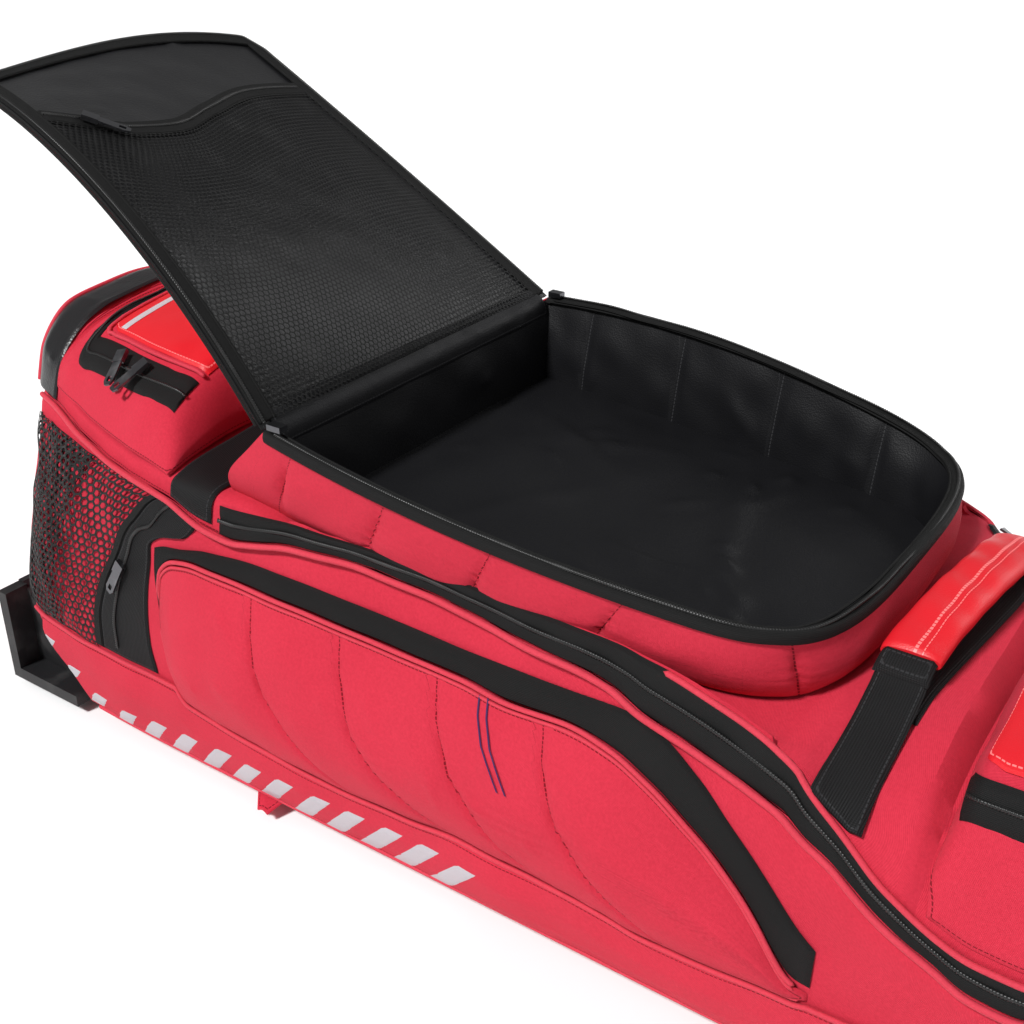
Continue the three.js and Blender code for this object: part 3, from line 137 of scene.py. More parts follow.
LEAF_ROWS = (
    # share of the leaf, lower edge, top edge, top of its zip, as shares of the height
    (0, 0.432, 0.44, 0.61), (0.02, 0.305, 0.561, 0.622), (0.05, 0.249, 0.595, 0.629),
    (0.1, 0.237, 0.607, 0.646), (0.22, 0.222, 0.607, 0.663), (0.33, 0.215, 0.605, 0.663),
    (0.44, 0.22, 0.602, 0.659), (0.54, 0.234, 0.6, 0.656), (0.61, 0.229, 0.588, 0.656),
    (0.68, 0.229, 0.593, 0.656), (0.745, 0.22, 0.576, 0.659), (0.795, 0.21, 0.541, 0.639),
    (0.845, 0.212, 0.488, 0.585), (0.89, 0.217, 0.429, 0.52), (0.935, 0.222, 0.349, 0.449),
    (0.98, 0.224, 0.254, 0.371), (1, 0.232, 0.245, 0.341),
)
NET_EDGE_ROWS = (
    # height as a share of the bag height, right edge of the net, right edge of the zip panel
    (0.273, -0.577, -0.385), (0.366, -0.572, -0.405), (0.468, -0.537, -0.4), (0.578, -0.471, -0.378),
    (0.61, -0.455, -0.376), (0.64, -0.435, -0.34), (0.659, -0.418, -0.263), (0.707, -0.375, -0.215),
    (0.744, -0.316, -0.167),
)
LID_NET_TOP = ((0, 0.75), (0.1, 0.7), (0.22, 0.645), (0.36, 0.632), (0.55, 0.675), (0.75, 0.73), (1, 0.765))
HANDLE_RISE = ((0, 1), (0.2, 0.94), (0.45, 0.69), (0.55, 0.31), (0.7, 0.06), (0.86, 0), (1, 0))
HANDLE_PLACE = (
    (-0.84, 0.152), (-0.49, 0.167), (-0.18, 0.207), (0.2, 0.25), (0.53, 0.262), (0.84, 0.265),
)


# Curves and surfaces

def follow(knots, values, at):
    """A smooth line through knots that never overshoots: cubic steps whose slope at each knot is the
    harmonic mean of the slopes beside it. Values may be arrays, one for each knot."""
    knots = np.asarray(knots, float)
    values = [np.asarray(value, float) for value in values]
    slopes = [(values[i + 1] - values[i]) / (knots[i + 1] - knots[i]) for i in range(len(knots) - 1)]

    def tangent(i):
        before, after = slopes[max(i - 1, 0)], slopes[min(i, len(slopes) - 1)]
        product, total = before * after, before + after
        return np.where(product <= 0, 0.0, 2 * product / np.where(total == 0, 1.0, total))

    at = np.clip(np.asarray(at, float), knots[0], knots[-1])
    shape = np.broadcast_shapes(at.shape, *[value.shape for value in values])
    line = np.zeros(shape)
    for i in range(len(slopes)):
        span = knots[i + 1] - knots[i]
        t = (at - knots[i]) / span
        h = t * t * (3 - 2 * t)
        value = values[i] + (values[i + 1] - values[i]) * h
        value = value + t * (1 - t) ** 2 * span * tangent(i) - t * t * (1 - t) * span * tangent(i + 1)
        line = np.where((at >= knots[i]) & (at <= knots[i + 1]), value, line)
    return line


def row_line(rows, column, at):
    """One column of a table against its first column."""
    table = np.asarray(rows, float)
    return follow(table[:, 0], table[:, column], at)


def mix(a, b, share):
    """The value a share of the way from a to b."""
    return a + (b - a) * share


def quarter(share):
    """Quarter circle: steep at 0, level at 1."""
    return np.sqrt(1 - (1 - np.clip(share, 0, 1)) ** 2)


def arch(share):
    """Half sine: nought at both ends, one in the middle."""
    return np.sin(math.pi * np.clip(share, 0, 1))


def bell(away, width):
    """Smooth bump, one at nought, that is gone by about two widths."""
    return np.exp(-(away / width) ** 2)


def fade(away, reach):
    """Peak at nought that dies away on both sides."""
    return np.exp(-np.abs(away) / reach)


def nearer(first, second):
    """Of two signed distances, the one nearer to nought."""
    return np.where(np.abs(first) < np.abs(second), first, second)


def unit(vectors):
    """Vectors at length one."""
    return vectors / np.maximum(np.linalg.norm(vectors, axis=-1, keepdims=True), 1e-9)


def outwards(normals, away):
    """Normals turned to the side that the away directions show."""
    return np.where(np.sum(normals * away, -1, keepdims=True) < 0, -normals, normals)


def grid_up(points, away):
    """Normals of a grid, from the slopes along its rows and columns."""
    return outwards(unit(np.cross(np.gradient(points, axis=0), np.gradient(points, axis=1))), away)


def x_at(station):
    """Stations count 0 to 1 along the wheel end, 1 to 2 along the opening, 2 to 3 along the handle end."""
    return np.interp(station, [0, 1, 2, 3], LAND)


def station_at(x):
    """The station of a place along the bag."""
    return np.interp(x, LAND, [0, 1, 2, 3])


def side_half_width(station, z):
    """Half width of the sides at a height."""
    levels = [row_line(SIDE_ROWS, i + 1, station) for i in range(5)]
    return HALF_WIDTH * follow(SIDE_HEIGHTS, levels, np.asarray(z) / HEIGHT)


def seam_z(station):
    """Height of the main seam."""
    return HEIGHT * row_line(SEAM_ROWS, 1, station)


def zip_top_z(station):
    """Height of the top edge of the main zip band."""
    return HEIGHT * row_line(SEAM_ROWS, 2, station)


def rim_line(x):
    """The rim falls evenly from the hinge to the handle end."""
    return RIM_HEIGHT - RIM_DROP * np.clip(x, 0, OPENING) / LID_LENGTH


def floor_z(x):
    """Height of the floor of the top compartment."""
    return rim_line(x) - mix(DEPTH_HINGE, DEPTH_END, np.clip(np.asarray(x) / OPENING, 0, 1))


def floor_row(station):
    """Section of the upper skin where it is the floor of the compartment."""
    height = float(floor_z(x_at(station)) - 3) / HEIGHT
    return (station, 0.872, height - 0.012, 0.5, height, height)


DECK_ROWS = (
    # station, shoulder width, shoulder height, top width, top height, crown height
    (0.0, 0.47, 0.86, 0.3, 0.945, 0.955), (0.03, 0.54, 0.875, 0.36, 0.96, 0.985),
    (0.08, 0.6, 0.888, 0.39, 0.968, 1.0), (0.155, 0.62, 0.888, 0.4, 0.968, 1.0),
    (0.2, 0.66, 0.835, 0.42, 0.875, 0.885), (0.37, 0.72, 0.81, 0.45, 0.845, 0.855),
    (0.6, 0.8, 0.8, 0.5, 0.825, 0.835), (0.72, 0.84, 0.785, 0.55, 0.805, 0.812),
    (0.83, 0.865, 0.775, 0.55, 0.785, 0.79), (0.93, 0.87, 0.772, 0.5, 0.78, 0.782),
    floor_row(1.0), floor_row(1.2), floor_row(1.5), floor_row(1.8), floor_row(1.98),
    (2.06, 0.82, 0.665, 0.45, 0.705, 0.713), (2.2, 0.81, 0.65, 0.45, 0.705, 0.715),
    (2.4, 0.8, 0.65, 0.5, 0.71, 0.72), (2.46, 0.8, 0.6, 0.5, 0.66, 0.67),
    (2.8, 0.78, 0.58, 0.5, 0.64, 0.65), (2.95, 0.74, 0.57, 0.48, 0.62, 0.63),
    (3.0, 0.66, 0.56, 0.42, 0.61, 0.62),
)


def section_point(station, across, rows):
    """Point of a cross section: across runs from -4 at the near seam over 0 at the crown to 4, and its
    widths and heights follow smooth lines through five knots."""
    station, across = np.broadcast_arrays(np.asarray(station, float), np.asarray(across, float))
    shoulder_wide, shoulder_high, top_wide, top_high, crown = (
        row_line(rows, column, station) for column in range(1, 6)
    )
    low, high = seam_z(station) + 0.4, zip_top_z(station)
    wide = [-HALF_WIDTH * top_wide, 0 * station, HALF_WIDTH * top_wide, HALF_WIDTH * shoulder_wide,
            side_half_width(station, high), side_half_width(station, low)]
    tall = [HEIGHT * top_high, HEIGHT * crown, HEIGHT * top_high, HEIGHT * shoulder_high, high, low]
    knots = [-1, 0, 1, 2, 3, 4]
    y = follow(knots, wide, np.abs(across)) * np.sign(across)
    return np.stack([x_at(station), y, follow(knots, tall, np.abs(across))], -1)


class Ground:
    """A surface that cloth lies on: its points for two parameters, the step that measures its slope,
    and which way its outside looks."""

    def __init__(self, at, step, away):
        self.at, self.step, self.away = at, step, away

    def up(self, a, b):
        """Unit normal, from the cross product of the two slopes, turned to the outside."""
        along = self.at(a + self.step[0], b) - self.at(a - self.step[0], b)
        across = self.at(a, b + self.step[1]) - self.at(a, b - self.step[1])
        return outwards(unit(np.cross(along, across)), self.away(self.at(a, b)))

    def lifted(self, a, b, lift):
        """Points that stand off the surface."""
        return self.at(a, b) + self.up(a, b) * np.asarray(lift)[..., None]


def from_core(points):
    """Away from the middle line of the bag."""
    return np.stack([0 * points[..., 0], points[..., 1], points[..., 2] - HEIGHT * 0.45], -1)


def bottom_z(x):
    """Height of the bottom edge: it climbs towards the wheels."""
    run = np.clip((np.asarray(x) + WHEEL_END) / CORNER_LENGTH, 0, 1)
    return GROUND + CORNER_HEIGHT * (1 - run)


DECK = Ground(lambda a, b: section_point(a, b, DECK_ROWS), (0.004, 0.03), from_core)


def pocket_ground(first, last, end_wall):
    """A pocket on top: the upper skin blended into the pocket sections, by a quarter circle at each end."""
    def at(station, across):
        station, across = np.broadcast_arrays(np.asarray(station, float), np.asarray(across, float))
        run = np.minimum(x_at(station) - x_at(first), x_at(last) - x_at(station)) / end_wall
        share = quarter(run)[..., None]
        foot = section_point(station, across, DECK_ROWS) + [0, 0, 1.4]
        return mix(foot, section_point(station, across, POCKET_ROWS), share)
    return Ground(at, (0.004, 0.03), from_core)


def side_ground(side):
    """A side of the bag for a station and a height, turning in below the bottom corner."""
    def at(station, z):
        station, z = np.broadcast_arrays(np.asarray(station, float), np.asarray(z, float))
        corner = bottom_z(x_at(station)) + BOTTOM_CORNER
        y = side_half_width(station, np.maximum(z, corner)) - np.maximum(corner - z, 0) * 0.43
        return np.stack([x_at(station), side * y, z], -1)
    return Ground(at, (0.006, 3.0), lambda points: np.array([0.0, side, 0.0]))


SIDES = {-1: side_ground(-1), 1: side_ground(1)}
NAMES = {-1: "near", 1: "far"}


def lid_arc(angles, u):
    """A lid edge bends evenly from its first angle to its last: the sum of sixteen short chords."""
    u = np.asarray(u, float)[..., None]
    angle = np.radians(mix(angles[0], angles[1], u * (np.arange(16) + 0.5) / 16))
    reach = LID_LENGTH * u / 16
    return np.sum(np.cos(angle) * reach, -1), np.sum(np.sin(angle) * reach, -1)


def lid_edge(side, u):
    """Long edge of the lid."""
    x, z = lid_arc(LID_ANGLES[side], u)
    bow = RIM_BOW[side] * 4 * u * (1 - u)
    y = side * (mix(RIM_WIDTH_HINGE, LID_END_WIDTH, u) / 2 + bow)
    return np.stack([x, y, RIM_HEIGHT + LID_REST + z], -1)


def lid_point(u, w):
    """Inside of the lid: straight lines between its two edges, with a bowed end and round corners."""
    u, w = np.broadcast_arrays(np.asarray(u, float), np.asarray(w, float))
    across = np.clip(np.abs(2 * w - 1), 0, 1)
    share = 2 * LID_CORNER / LID_END_WIDTH
    corner = np.clip((across - 1 + share) / share, 0, 1)
    cut = LID_CORNER * (1 - np.sqrt(1 - corner ** 2))
    reach = u * (1 + (LID_END_BOW * (1 - across ** 2) - cut) / LID_LENGTH)
    return mix(lid_edge(-1, reach), lid_edge(1, reach), w[..., None])


def from_lid(points):
    """Out of the inside of the lid, towards the compartment."""
    return np.broadcast_to([1.0, 0.0, 1.0], points.shape)


LID = Ground(lid_point, (0.008, 0.004), from_lid)


def ripple(points, pitch, seed):
    """Uneven soft swells: nine sine waves whose directions, lengths and phases come from the seed."""
    draw = np.random.default_rng(seed)
    total = 0
    for wave in range(9):
        heading = draw.normal(size=3)
        heading /= np.linalg.norm(heading)
        length = pitch * draw.uniform(0.6, 1.7)
        total = total + np.sin(points @ heading * (2 * math.pi / length) + draw.uniform(0, 6.28))
    return total / 3


def folds(points, count, width, reach, seed):
    """Straight soft creases: each is a ridge, a bell across its line and a longer bell along it, at a
    place and heading drawn from the seed."""
    draw = np.random.default_rng(seed)
    flat = points.reshape(-1, 3)
    low, high = flat.min(0), flat.max(0)
    total = 0
    for crease in range(count):
        middle = mix(low, high, draw.uniform(size=3))
        heading = draw.normal(size=3)
        heading /= np.linalg.norm(heading)
        away = points - middle
        along = away @ heading
        beside = np.linalg.norm(away - along[..., None] * heading, axis=-1)
        size = draw.uniform(0.5, 1.0)
        across = beside / (width * draw.uniform(0.6, 1.5))
        total = total + size * np.exp(-across ** 2 - (along / reach) ** 2)
    return total


def rumple(points):
    """Slack that the whole bag shares, so that what is sewn on it moves with it."""
    firm = np.clip((points[..., 2] - 45) / 80, 0, 1)
    return firm * (1.1 * ripple(points, 150, 3) + 0.55 * ripple(points, 62, 4))


def flow(points, count):
    """A path through chosen points, resampled evenly: cubic steps with central slopes."""
    points = np.asarray(points, float)
    flat = points.reshape(len(points), -1)
    step = np.linalg.norm(np.diff(flat, axis=0), axis=1)
    along = np.concatenate([[0], np.cumsum(step)])
    slope = np.gradient(flat, along, axis=0)
    at = np.linspace(0, along[-1], count)
    i = np.clip(np.searchsorted(along, at, side="right") - 1, 0, len(points) - 2)
    span = (along[i + 1] - along[i])[:, None]
    t = ((at - along[i]) / (along[i + 1] - along[i]))[:, None]
    h = t * t * (3 - 2 * t)
    line = flat[i] * (1 - h) + flat[i + 1] * h
    line = line + t * (1 - t) ** 2 * span * slope[i] - t * t * (1 - t) * span * slope[i + 1]
    return line.reshape((count,) + points.shape[1:])


# Making meshes

def running(points, axis):
    """Length along one direction of a grid, up to each point."""
    step = np.linalg.norm(np.diff(points, axis=axis), axis=-1)
    start = np.zeros_like(np.take(step, [0], axis))
    return np.concatenate([start, np.cumsum(step, axis)], axis)


def patch(points, finish=0, turned=False, seam=None):
    """A grid of points with its own lengths as cloth coordinates. Its seam layer holds the distance to
    the nearest edge and the length along that edge."""
    cloth = np.stack([running(points, 0), running(points, 1)], -1)
    if seam is None:
        seam = np.stack([np.full(points.shape[:2], NO_SEAM), cloth[..., 0]], -1)
    return {"points": points, "finish": finish, "turned": turned, "cloth": cloth, "seam": seam}


def quad_mesh(name, points, quads):
    """A mesh of four-sided faces, moved into the row frame."""
    mesh = bpy.data.meshes.new(name)
    mesh.vertices.add(len(points))
    mesh.vertices.foreach_set("co", ((points + HINGE_PLACE) / 1000).ravel())
    mesh.loops.add(quads.size)
    mesh.loops.foreach_set("vertex_index", quads.ravel().astype(np.int32))
    mesh.polygons.add(len(quads))
    mesh.polygons.foreach_set("loop_start", np.arange(0, quads.size, 4, dtype=np.int32))
    mesh.update(calc_edges=True)
    return mesh


def sew(name, patches, finishes, nodes=(), body="bag", sharp=42):
    """One mesh from grids: corner i, j meets i+1, j, then i+1, j+1, then i, j+1. Doubles are merged."""
    points, quads, tags, maps = [], [], [], {"cloth": [], "seam": []}
    start = 0
    for part in patches:
        rows, columns = part["points"].shape[:2]
        index = start + np.arange(rows * columns).reshape(rows, columns)
        quad = np.stack([index[:-1, :-1], index[1:, :-1], index[1:, 1:], index[:-1, 1:]], -1)
        quad = quad.reshape(-1, 4)
        quads.append(quad[:, ::-1] if part["turned"] else quad)
        points.append(part["points"].reshape(-1, 3))
        tags.append(np.full(len(quad), part["finish"]))
        for key in maps:
            maps[key].append(part[key].reshape(-1, 2))
        start += rows * columns
    quads, points = np.concatenate(quads), np.concatenate(points)
    mesh = quad_mesh(name, points, quads)
    mesh.polygons.foreach_set("material_index", np.concatenate(tags).astype(np.int32))
    for key in maps:
        layer = mesh.uv_layers.new(name=key)
        corners = np.concatenate(maps[key])[quads.ravel()]
        layer.data.foreach_set("uv", corners.ravel().astype(np.float32))
    return finish_piece(name, mesh, finishes, nodes, body, sharp)


def finish_piece(name, mesh, finishes, nodes, body, sharp):
    """Merges doubles, rounds the shading, gives the piece its finishes, hangs it on its body and hides the
    imported parts it replaces.
    """
    merged = bmesh.new()
    merged.from_mesh(mesh)
    bmesh.ops.remove_doubles(merged, verts=merged.verts, dist=2e-5)
    merged.to_mesh(mesh)
    merged.free()
    mesh.validate()
    mesh.shade_smooth()
    mesh.set_sharp_from_angle(angle=math.radians(sharp))
    for finish in finishes:
        mesh.materials.append(finish)
    piece = bpy.data.objects.new(name, mesh)
    bpy.context.scene.collection.objects.link(piece)
    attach(piece, body)
    if nodes:
        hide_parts(*nodes)
    return piece


def shell(points, up, thick, lift=0.0, roll=2.0, ends=True, finish=0, slack=True, quilt=None):
    """A piece of cloth: its face stands a thickness off its back, rounded to nothing over the roll at
    each free edge by a quarter circle. quilt holds signed distances to the nearest quilting line, which
    is stitched too. Returns the two patches."""
    if slack:
        points = points + up * rumple(points)[..., None]
    lift = np.broadcast_to(np.asarray(lift, float), points.shape[:2])[..., None]
    along, across = running(points, 0), running(points, 1)
    to_end = np.minimum(along, along[-1:] - along) if ends else np.full(along.shape, 1e3)
    to_side = np.minimum(across, across[:, -1:] - across)
    edge = np.minimum(to_end, to_side)
    seam = np.stack([edge, np.where(to_side < to_end, along, across)], -1)
    if quilt is not None:
        line = np.stack([STITCH_INSET + quilt, across], -1)
        seam = np.where((np.abs(quilt) < QUILT_REACH)[..., None], line, seam)
    full = quarter(edge / roll)[..., None]
    face = points + up * (lift + thick * full)
    rear = points + up * lift
    crossing = np.cross(face[1:, :-1] - face[:-1, :-1], face[:-1, 1:] - face[:-1, :-1])
    turned = bool(np.sum(crossing * up[:-1, :-1]) < 0)
    return [patch(face, finish, turned, seam), patch(rear, finish, not turned, seam)]


def lay(name, ground, a, b, thick, lift, finishes, slot, nodes=(), fill=None, **options):
    """A piece of cloth laid on a ground over a grid of its parameters."""
    a, b = np.broadcast_arrays(np.asarray(a, float), np.asarray(b, float))
    points, up = ground.at(a, b), ground.up(a, b)
    patches = shell(points, up, thick, lift, **options)
    return sew(name, patches, finishes, nodes)


def welt(path, radius, sides=8, ribs=None, flat=1.0, core=from_core, slack=True):
    """A cord along a path: a ring of the radius round each point, set by the tangent and the way out of
    the bag. Ribs swell it in a sine along its length. Both ends are closed to a point."""
    tangent = unit(np.gradient(path, axis=0))
    out = core(path)
    out = unit(out - tangent * np.sum(out * tangent, 1, keepdims=True))
    if slack:
        path = path + out * rumple(path)[:, None]
    right = np.cross(tangent, out)
    length = running(path, 0)
    swell = np.ones(len(path))
    if ribs:
        swell = 1 + ribs[1] * np.sin(length * 2 * math.pi / ribs[0])
    swell[0] = swell[-1] = 0.0
    angle = np.linspace(0, 2 * math.pi, sides + 1)
    turn = angle[None, :, None]
    ring = out[:, None] * np.cos(turn) * flat + right[:, None] * np.sin(turn)
    points = path[:, None] + ring * (radius * swell)[:, None, None]
    around = np.broadcast_to(angle * radius, (len(path), sides + 1))
    cord = patch(points, turned=True)
    cord["cloth"] = np.stack([np.broadcast_to(length[:, None], around.shape), around], -1)
    return cord


def piping(name, path, radius, finish, slot, nodes=(), **options):
    """A corded edge."""
    return sew(name, [welt(path, radius, **options)], [finish], nodes, sharp=80)


def coil(name, path, finish, pitch=2.2, width=1.5, **options):
    """Zip coil: a flattened cord with a rib for each tooth, three rings to a rib."""
    count = int(running(path, 0)[-1] / pitch * 3)
    return sew(name, [welt(flow(path, count), width, sides=6, ribs=(pitch, 0.3), flat=0.7, **options)],
               [finish], sharp=80)


def netting(name, at, wide, tall, pitch, strand, finish, nodes):
    """A net of hexagons: round each hole a ring of six faces falls from the crest of the strand to the
    hole's edge, on both sides. at gives points and normals for lengths across and up."""
    row_step = pitch * 0.866
    rows = int(tall / row_step) + 2
    columns = int(wide / pitch) + 2
    j, i = np.meshgrid(np.arange(rows), np.arange(columns), indexing="ij")
    s = (i + 0.5 * (j % 2)) * pitch
    t = j * row_step
    keep = (s < wide + pitch * 0.3) & (t < tall + pitch * 0.3)
    centre = np.stack([s[keep], t[keep]], -1)
    angle = np.radians(np.arange(7) * 60 + 30)
    spoke = np.stack([np.cos(angle), np.sin(angle)], -1) * pitch / math.sqrt(3)
    limit = np.array([wide, tall])
    outer = np.clip(centre[:, None] + spoke, 0, limit)
    middle = outer[:, :6].mean(1, keepdims=True)
    inner = middle + (outer - middle) * (1 - 2 * strand / pitch)
    crest, crest_up = at(outer[..., 0], outer[..., 1])
    hole = at(inner[..., 0], inner[..., 1])[0]
    rings = np.stack([crest + crest_up * 0.4, hole, crest - crest_up * 0.4], 1)
    count = len(centre)
    index = np.arange(count * 21).reshape(count, 3, 7)
    low, high = index[:, :-1], index[:, 1:]
    quads = np.stack([low[..., :-1], low[..., 1:], high[..., 1:], high[..., :-1]], -1).reshape(-1, 4)
    points = rings.reshape(-1, 3)
    first = points[quads[0]]
    facing = np.dot(np.cross(first[1] - first[0], first[3] - first[0]), crest_up[0, 0])
    quads = quads[:, ::-1] if facing < 0 else quads
    mesh = quad_mesh(name, points, quads)
    return finish_piece(name, mesh, [finish], nodes, "bag", 80)


# Finishes

def new_finish(name):
    """A material and its shader node."""
    material = bpy.data.materials.new(name)
    material.use_nodes = True
    return material, material.node_tree.nodes["Principled BSDF"]


def node(material, kind, values=(), **settings):
    """A node whose inputs are numbers or other nodes' outputs."""
    made = material.node_tree.nodes.new(kind)
    for key, value in settings.items():
        setattr(made, key, value)
    for key, value in dict(values).items():
        if isinstance(value, bpy.types.NodeSocket):
            material.node_tree.links.new(value, made.inputs[key])
        else:
            made.inputs[key].default_value = value
    return made


def sum_of(material, operation, first, second=0.0, third=0.0):
    """One step of arithmetic."""
    return node(material, "ShaderNodeMath", {0: first, 1: second, 2: third}, operation=operation).outputs[0]


def scaled(material, value, factor, plus=0.0):
    """A value times a factor, plus another."""
    return sum_of(material, "MULTIPLY_ADD", value, factor, plus)


def blend_colour(material, share, first, second):
    """A colour between two, by a share. Each is a node's output or red, green and blue."""
    made = node(material, "ShaderNodeMix", {0: share}, data_type="RGBA")
    for slot_index, value in ((6, first), (7, second)):
        if isinstance(value, bpy.types.NodeSocket):
            material.node_tree.links.new(value, made.inputs[slot_index])
        else:
            made.inputs[slot_index].default_value = (*value, 1)
    return made.outputs[2]


def waves(material, along, pitch, phase=0.0):
    """A sine of a length, one wave for each pitch, from -1 to 1."""
    return sum_of(material, "SINE", scaled(material, along, 2 * math.pi / pitch, phase))


def cloth_lengths(material, layer="cloth"):
    """The two lengths of a layer of cloth coordinates, in millimetres."""
    place = node(material, "ShaderNodeUVMap", uv_map=layer)
    parts = node(material, "ShaderNodeSeparateXYZ", {0: place.outputs[0]})
    return parts.outputs[0], parts.outputs[1]


def speckle(material, scale, detail=3.0, place=None):
    """Noise on the object's own coordinates."""
    if place is None:
        place = node(material, "ShaderNodeTexCoord").outputs["Object"]
    noise = node(material, "ShaderNodeTexNoise", {"Vector": place, "Scale": scale, "Detail": detail})
    return noise.outputs[0]


def stitches(material, inset=STITCH_INSET, pitch=3.6):
    """Dashes of thread at one distance from the edges of a piece."""
    edge, run = cloth_lengths(material, "seam")
    away = sum_of(material, "ABSOLUTE", sum_of(material, "SUBTRACT", edge, inset))
    turn = sum_of(material, "FRACT", sum_of(material, "DIVIDE", run, pitch))
    near = sum_of(material, "LESS_THAN", away, 0.5)
    dash = sum_of(material, "LESS_THAN", turn, 0.72)
    return sum_of(material, "MULTIPLY", near, dash)


def sewn(material, colour, height, thread, stand):
    """Adds the stitches to a colour and a height, where the cloth has a thread colour."""
    if thread is None:
        return colour, height
    mask = stitches(material)
    return blend_colour(material, mask, colour, thread), scaled(material, mask, stand, height)


def surface(material, shader, colour, rough, height, relief, depth, others):
    """Joins a colour, a roughness and a height to the shader, and sets its other inputs."""
    bump = node(material, "ShaderNodeBump", {"Strength": relief, "Distance": depth, "Height": height})
    for name, value in (("Base Color", colour), ("Roughness", rough), ("Normal", bump.outputs[0])):
        material.node_tree.links.new(value, shader.inputs[name])
    for name, value in others.items():
        shader.inputs[name].default_value = value
    return material


def woven(name, light, dark, pitch, relief, roughness, sheen, tint, twill=0.0, thread=None, shine=0.5,
          grain=420.0):
    """Woven cloth: two sets of threads as crossed sine waves, slanted by the twill, with uneven dye,
    fluff and, where it has a thread colour, a row of stitches along its edges."""
    material, shader = new_finish(name)
    u, v = cloth_lengths(material)
    slant = scaled(material, v, twill, u)
    warp = waves(material, slant, pitch)
    weft = waves(material, scaled(material, u, -twill, v), pitch)
    weave = scaled(material, sum_of(material, "MULTIPLY", warp, weft), 0.5, 0.5)
    dye = speckle(material, 9.0)
    fluff = speckle(material, grain, 2.0)
    share = scaled(material, weave, 0.35, sum_of(material, "MULTIPLY", fluff, 0.5))
    share = sum_of(material, "ADD", share, scaled(material, dye, 0.3, -0.15))
    colour = blend_colour(material, share, dark, light)
    height = scaled(material, fluff, 0.6, weave)
    colour, height = sewn(material, colour, height, thread, 1.2)
    rough = scaled(material, fluff, 0.16, roughness - 0.08)
    return surface(material, shader, colour, rough, height, relief, 0.0006, {
        "Sheen Weight": sheen, "Sheen Roughness": 0.45, "Sheen Tint": (*tint, 1),
        "Specular IOR Level": shine})


def crinkled(name, light, dark, roughness, relief, grain, shine=0.5, coat=0.0, thread=None):
    """Smooth coated or nylon cloth: fine cells of grain over a slow crinkle, a little lighter within 1.6 mm
    of its edges.
    """
    material, shader = new_finish(name)
    place = node(material, "ShaderNodeTexCoord").outputs["Object"]
    cells = node(material, "ShaderNodeTexVoronoi", {"Vector": place, "Scale": grain}).outputs[0]
    slow = speckle(material, 38.0, 4.0, place)
    dye = speckle(material, 8.0, 2.0, place)
    edge = cloth_lengths(material, "seam")[0]
    # colour a little lighter within 1.6 mm of the edges
    edge_lighter = sum_of(material, "MULTIPLY", sum_of(material, "LESS_THAN", edge, 1.6), 0.35)
    share = sum_of(material, "ADD", scaled(material, dye, 0.7, 0.1), edge_lighter)
    colour = blend_colour(material, share, dark, light)
    height = scaled(material, slow, 1.6, cells)
    colour, height = sewn(material, colour, height, thread, 1.0)
    rough = scaled(material, slow, 0.2, roughness - 0.1)
    return surface(material, shader, colour, rough, height, relief, 0.0008, {
        "Specular IOR Level": shine, "Coat Weight": coat, "Coat Roughness": 0.3})


def ribbed(name, colour, dark, pitch, roughness, thread=None):
    """Webbing and tape: ribs along one length, crossed by finer picks."""
    material, shader = new_finish(name)
    u, v = cloth_lengths(material)
    ribs = waves(material, v, pitch)
    picks = waves(material, scaled(material, ribs, 0.25, u), pitch * 0.8)
    height = scaled(material, picks, 0.3, scaled(material, ribs, 0.5, 0.5))
    fluff = speckle(material, 500.0, 2.0)
    share = scaled(material, height, 0.5, sum_of(material, "MULTIPLY", fluff, 0.4))
    tone = blend_colour(material, share, dark, colour)
    tone, height = sewn(material, tone, height, thread, -0.8)
    rough = scaled(material, fluff, 0.2, roughness - 0.1)
    return surface(material, shader, tone, rough, height, 0.45, 0.0007, {"Specular IOR Level": 0.12})


def moulded(name, colour, scuffed, roughness, grain, relief, metallic=0.0, shine=0.3):
    """Hard material: fine moulding grain, with scuffs where a coarse noise is high."""
    material, shader = new_finish(name)
    place = node(material, "ShaderNodeTexCoord").outputs["Object"]
    fine = speckle(material, grain, 3.0, place)
    coarse = speckle(material, 30.0, 5.0, place)
    scuff = node(material, "ShaderNodeMapRange", {0: coarse, 1: 0.52, 2: 0.72}).outputs[0]
    tone = blend_colour(material, scuff, colour, scuffed)
    rough = scaled(material, scuff, 0.12, scaled(material, fine, 0.15, roughness - 0.07))
    return surface(material, shader, tone, rough, fine, relief, 0.0005, {
        "Metallic": metallic, "Specular IOR Level": shine})


RED_CLOTH = woven("red_polyester", (0.74, 0.044, 0.082), (0.45, 0.011, 0.03), 1.5, 0.6, 0.8, 0.05,
                  (1.0, 0.4, 0.45), twill=0.45, thread=(0.2, 0.004, 0.012), shine=0.2)
RED_COATED = crinkled("red_coated_cloth", (0.72, 0.016, 0.026), (0.58, 0.008, 0.015), 0.42, 0.2, 900.0,
                      shine=0.3, coat=0.06, thread=(0.9, 0.2, 0.2))
RED_PIPING = woven("red_piping", (0.76, 0.06, 0.10), (0.46, 0.015, 0.035), 1.1, 0.35, 0.6, 0.08,
                   (1.0, 0.5, 0.5), twill=0.6, shine=0.3)
BLACK_NYLON = crinkled("black_lining", (0.010, 0.010, 0.011), (0.004, 0.004, 0.005), 0.5, 0.22, 700.0,
                       shine=0.14, thread=(0.03, 0.03, 0.032))
BLACK_SHINY = crinkled("black_shiny_nylon", (0.014, 0.014, 0.015), (0.007, 0.007, 0.008), 0.34, 0.3, 500.0,
                       shine=0.3, coat=0.05, thread=(0.03, 0.03, 0.03))
BLACK_WEBBING = ribbed("black_webbing", (0.016, 0.016, 0.017), (0.004, 0.004, 0.004), 1.9, 0.55,
                       thread=(0.03, 0.03, 0.032))
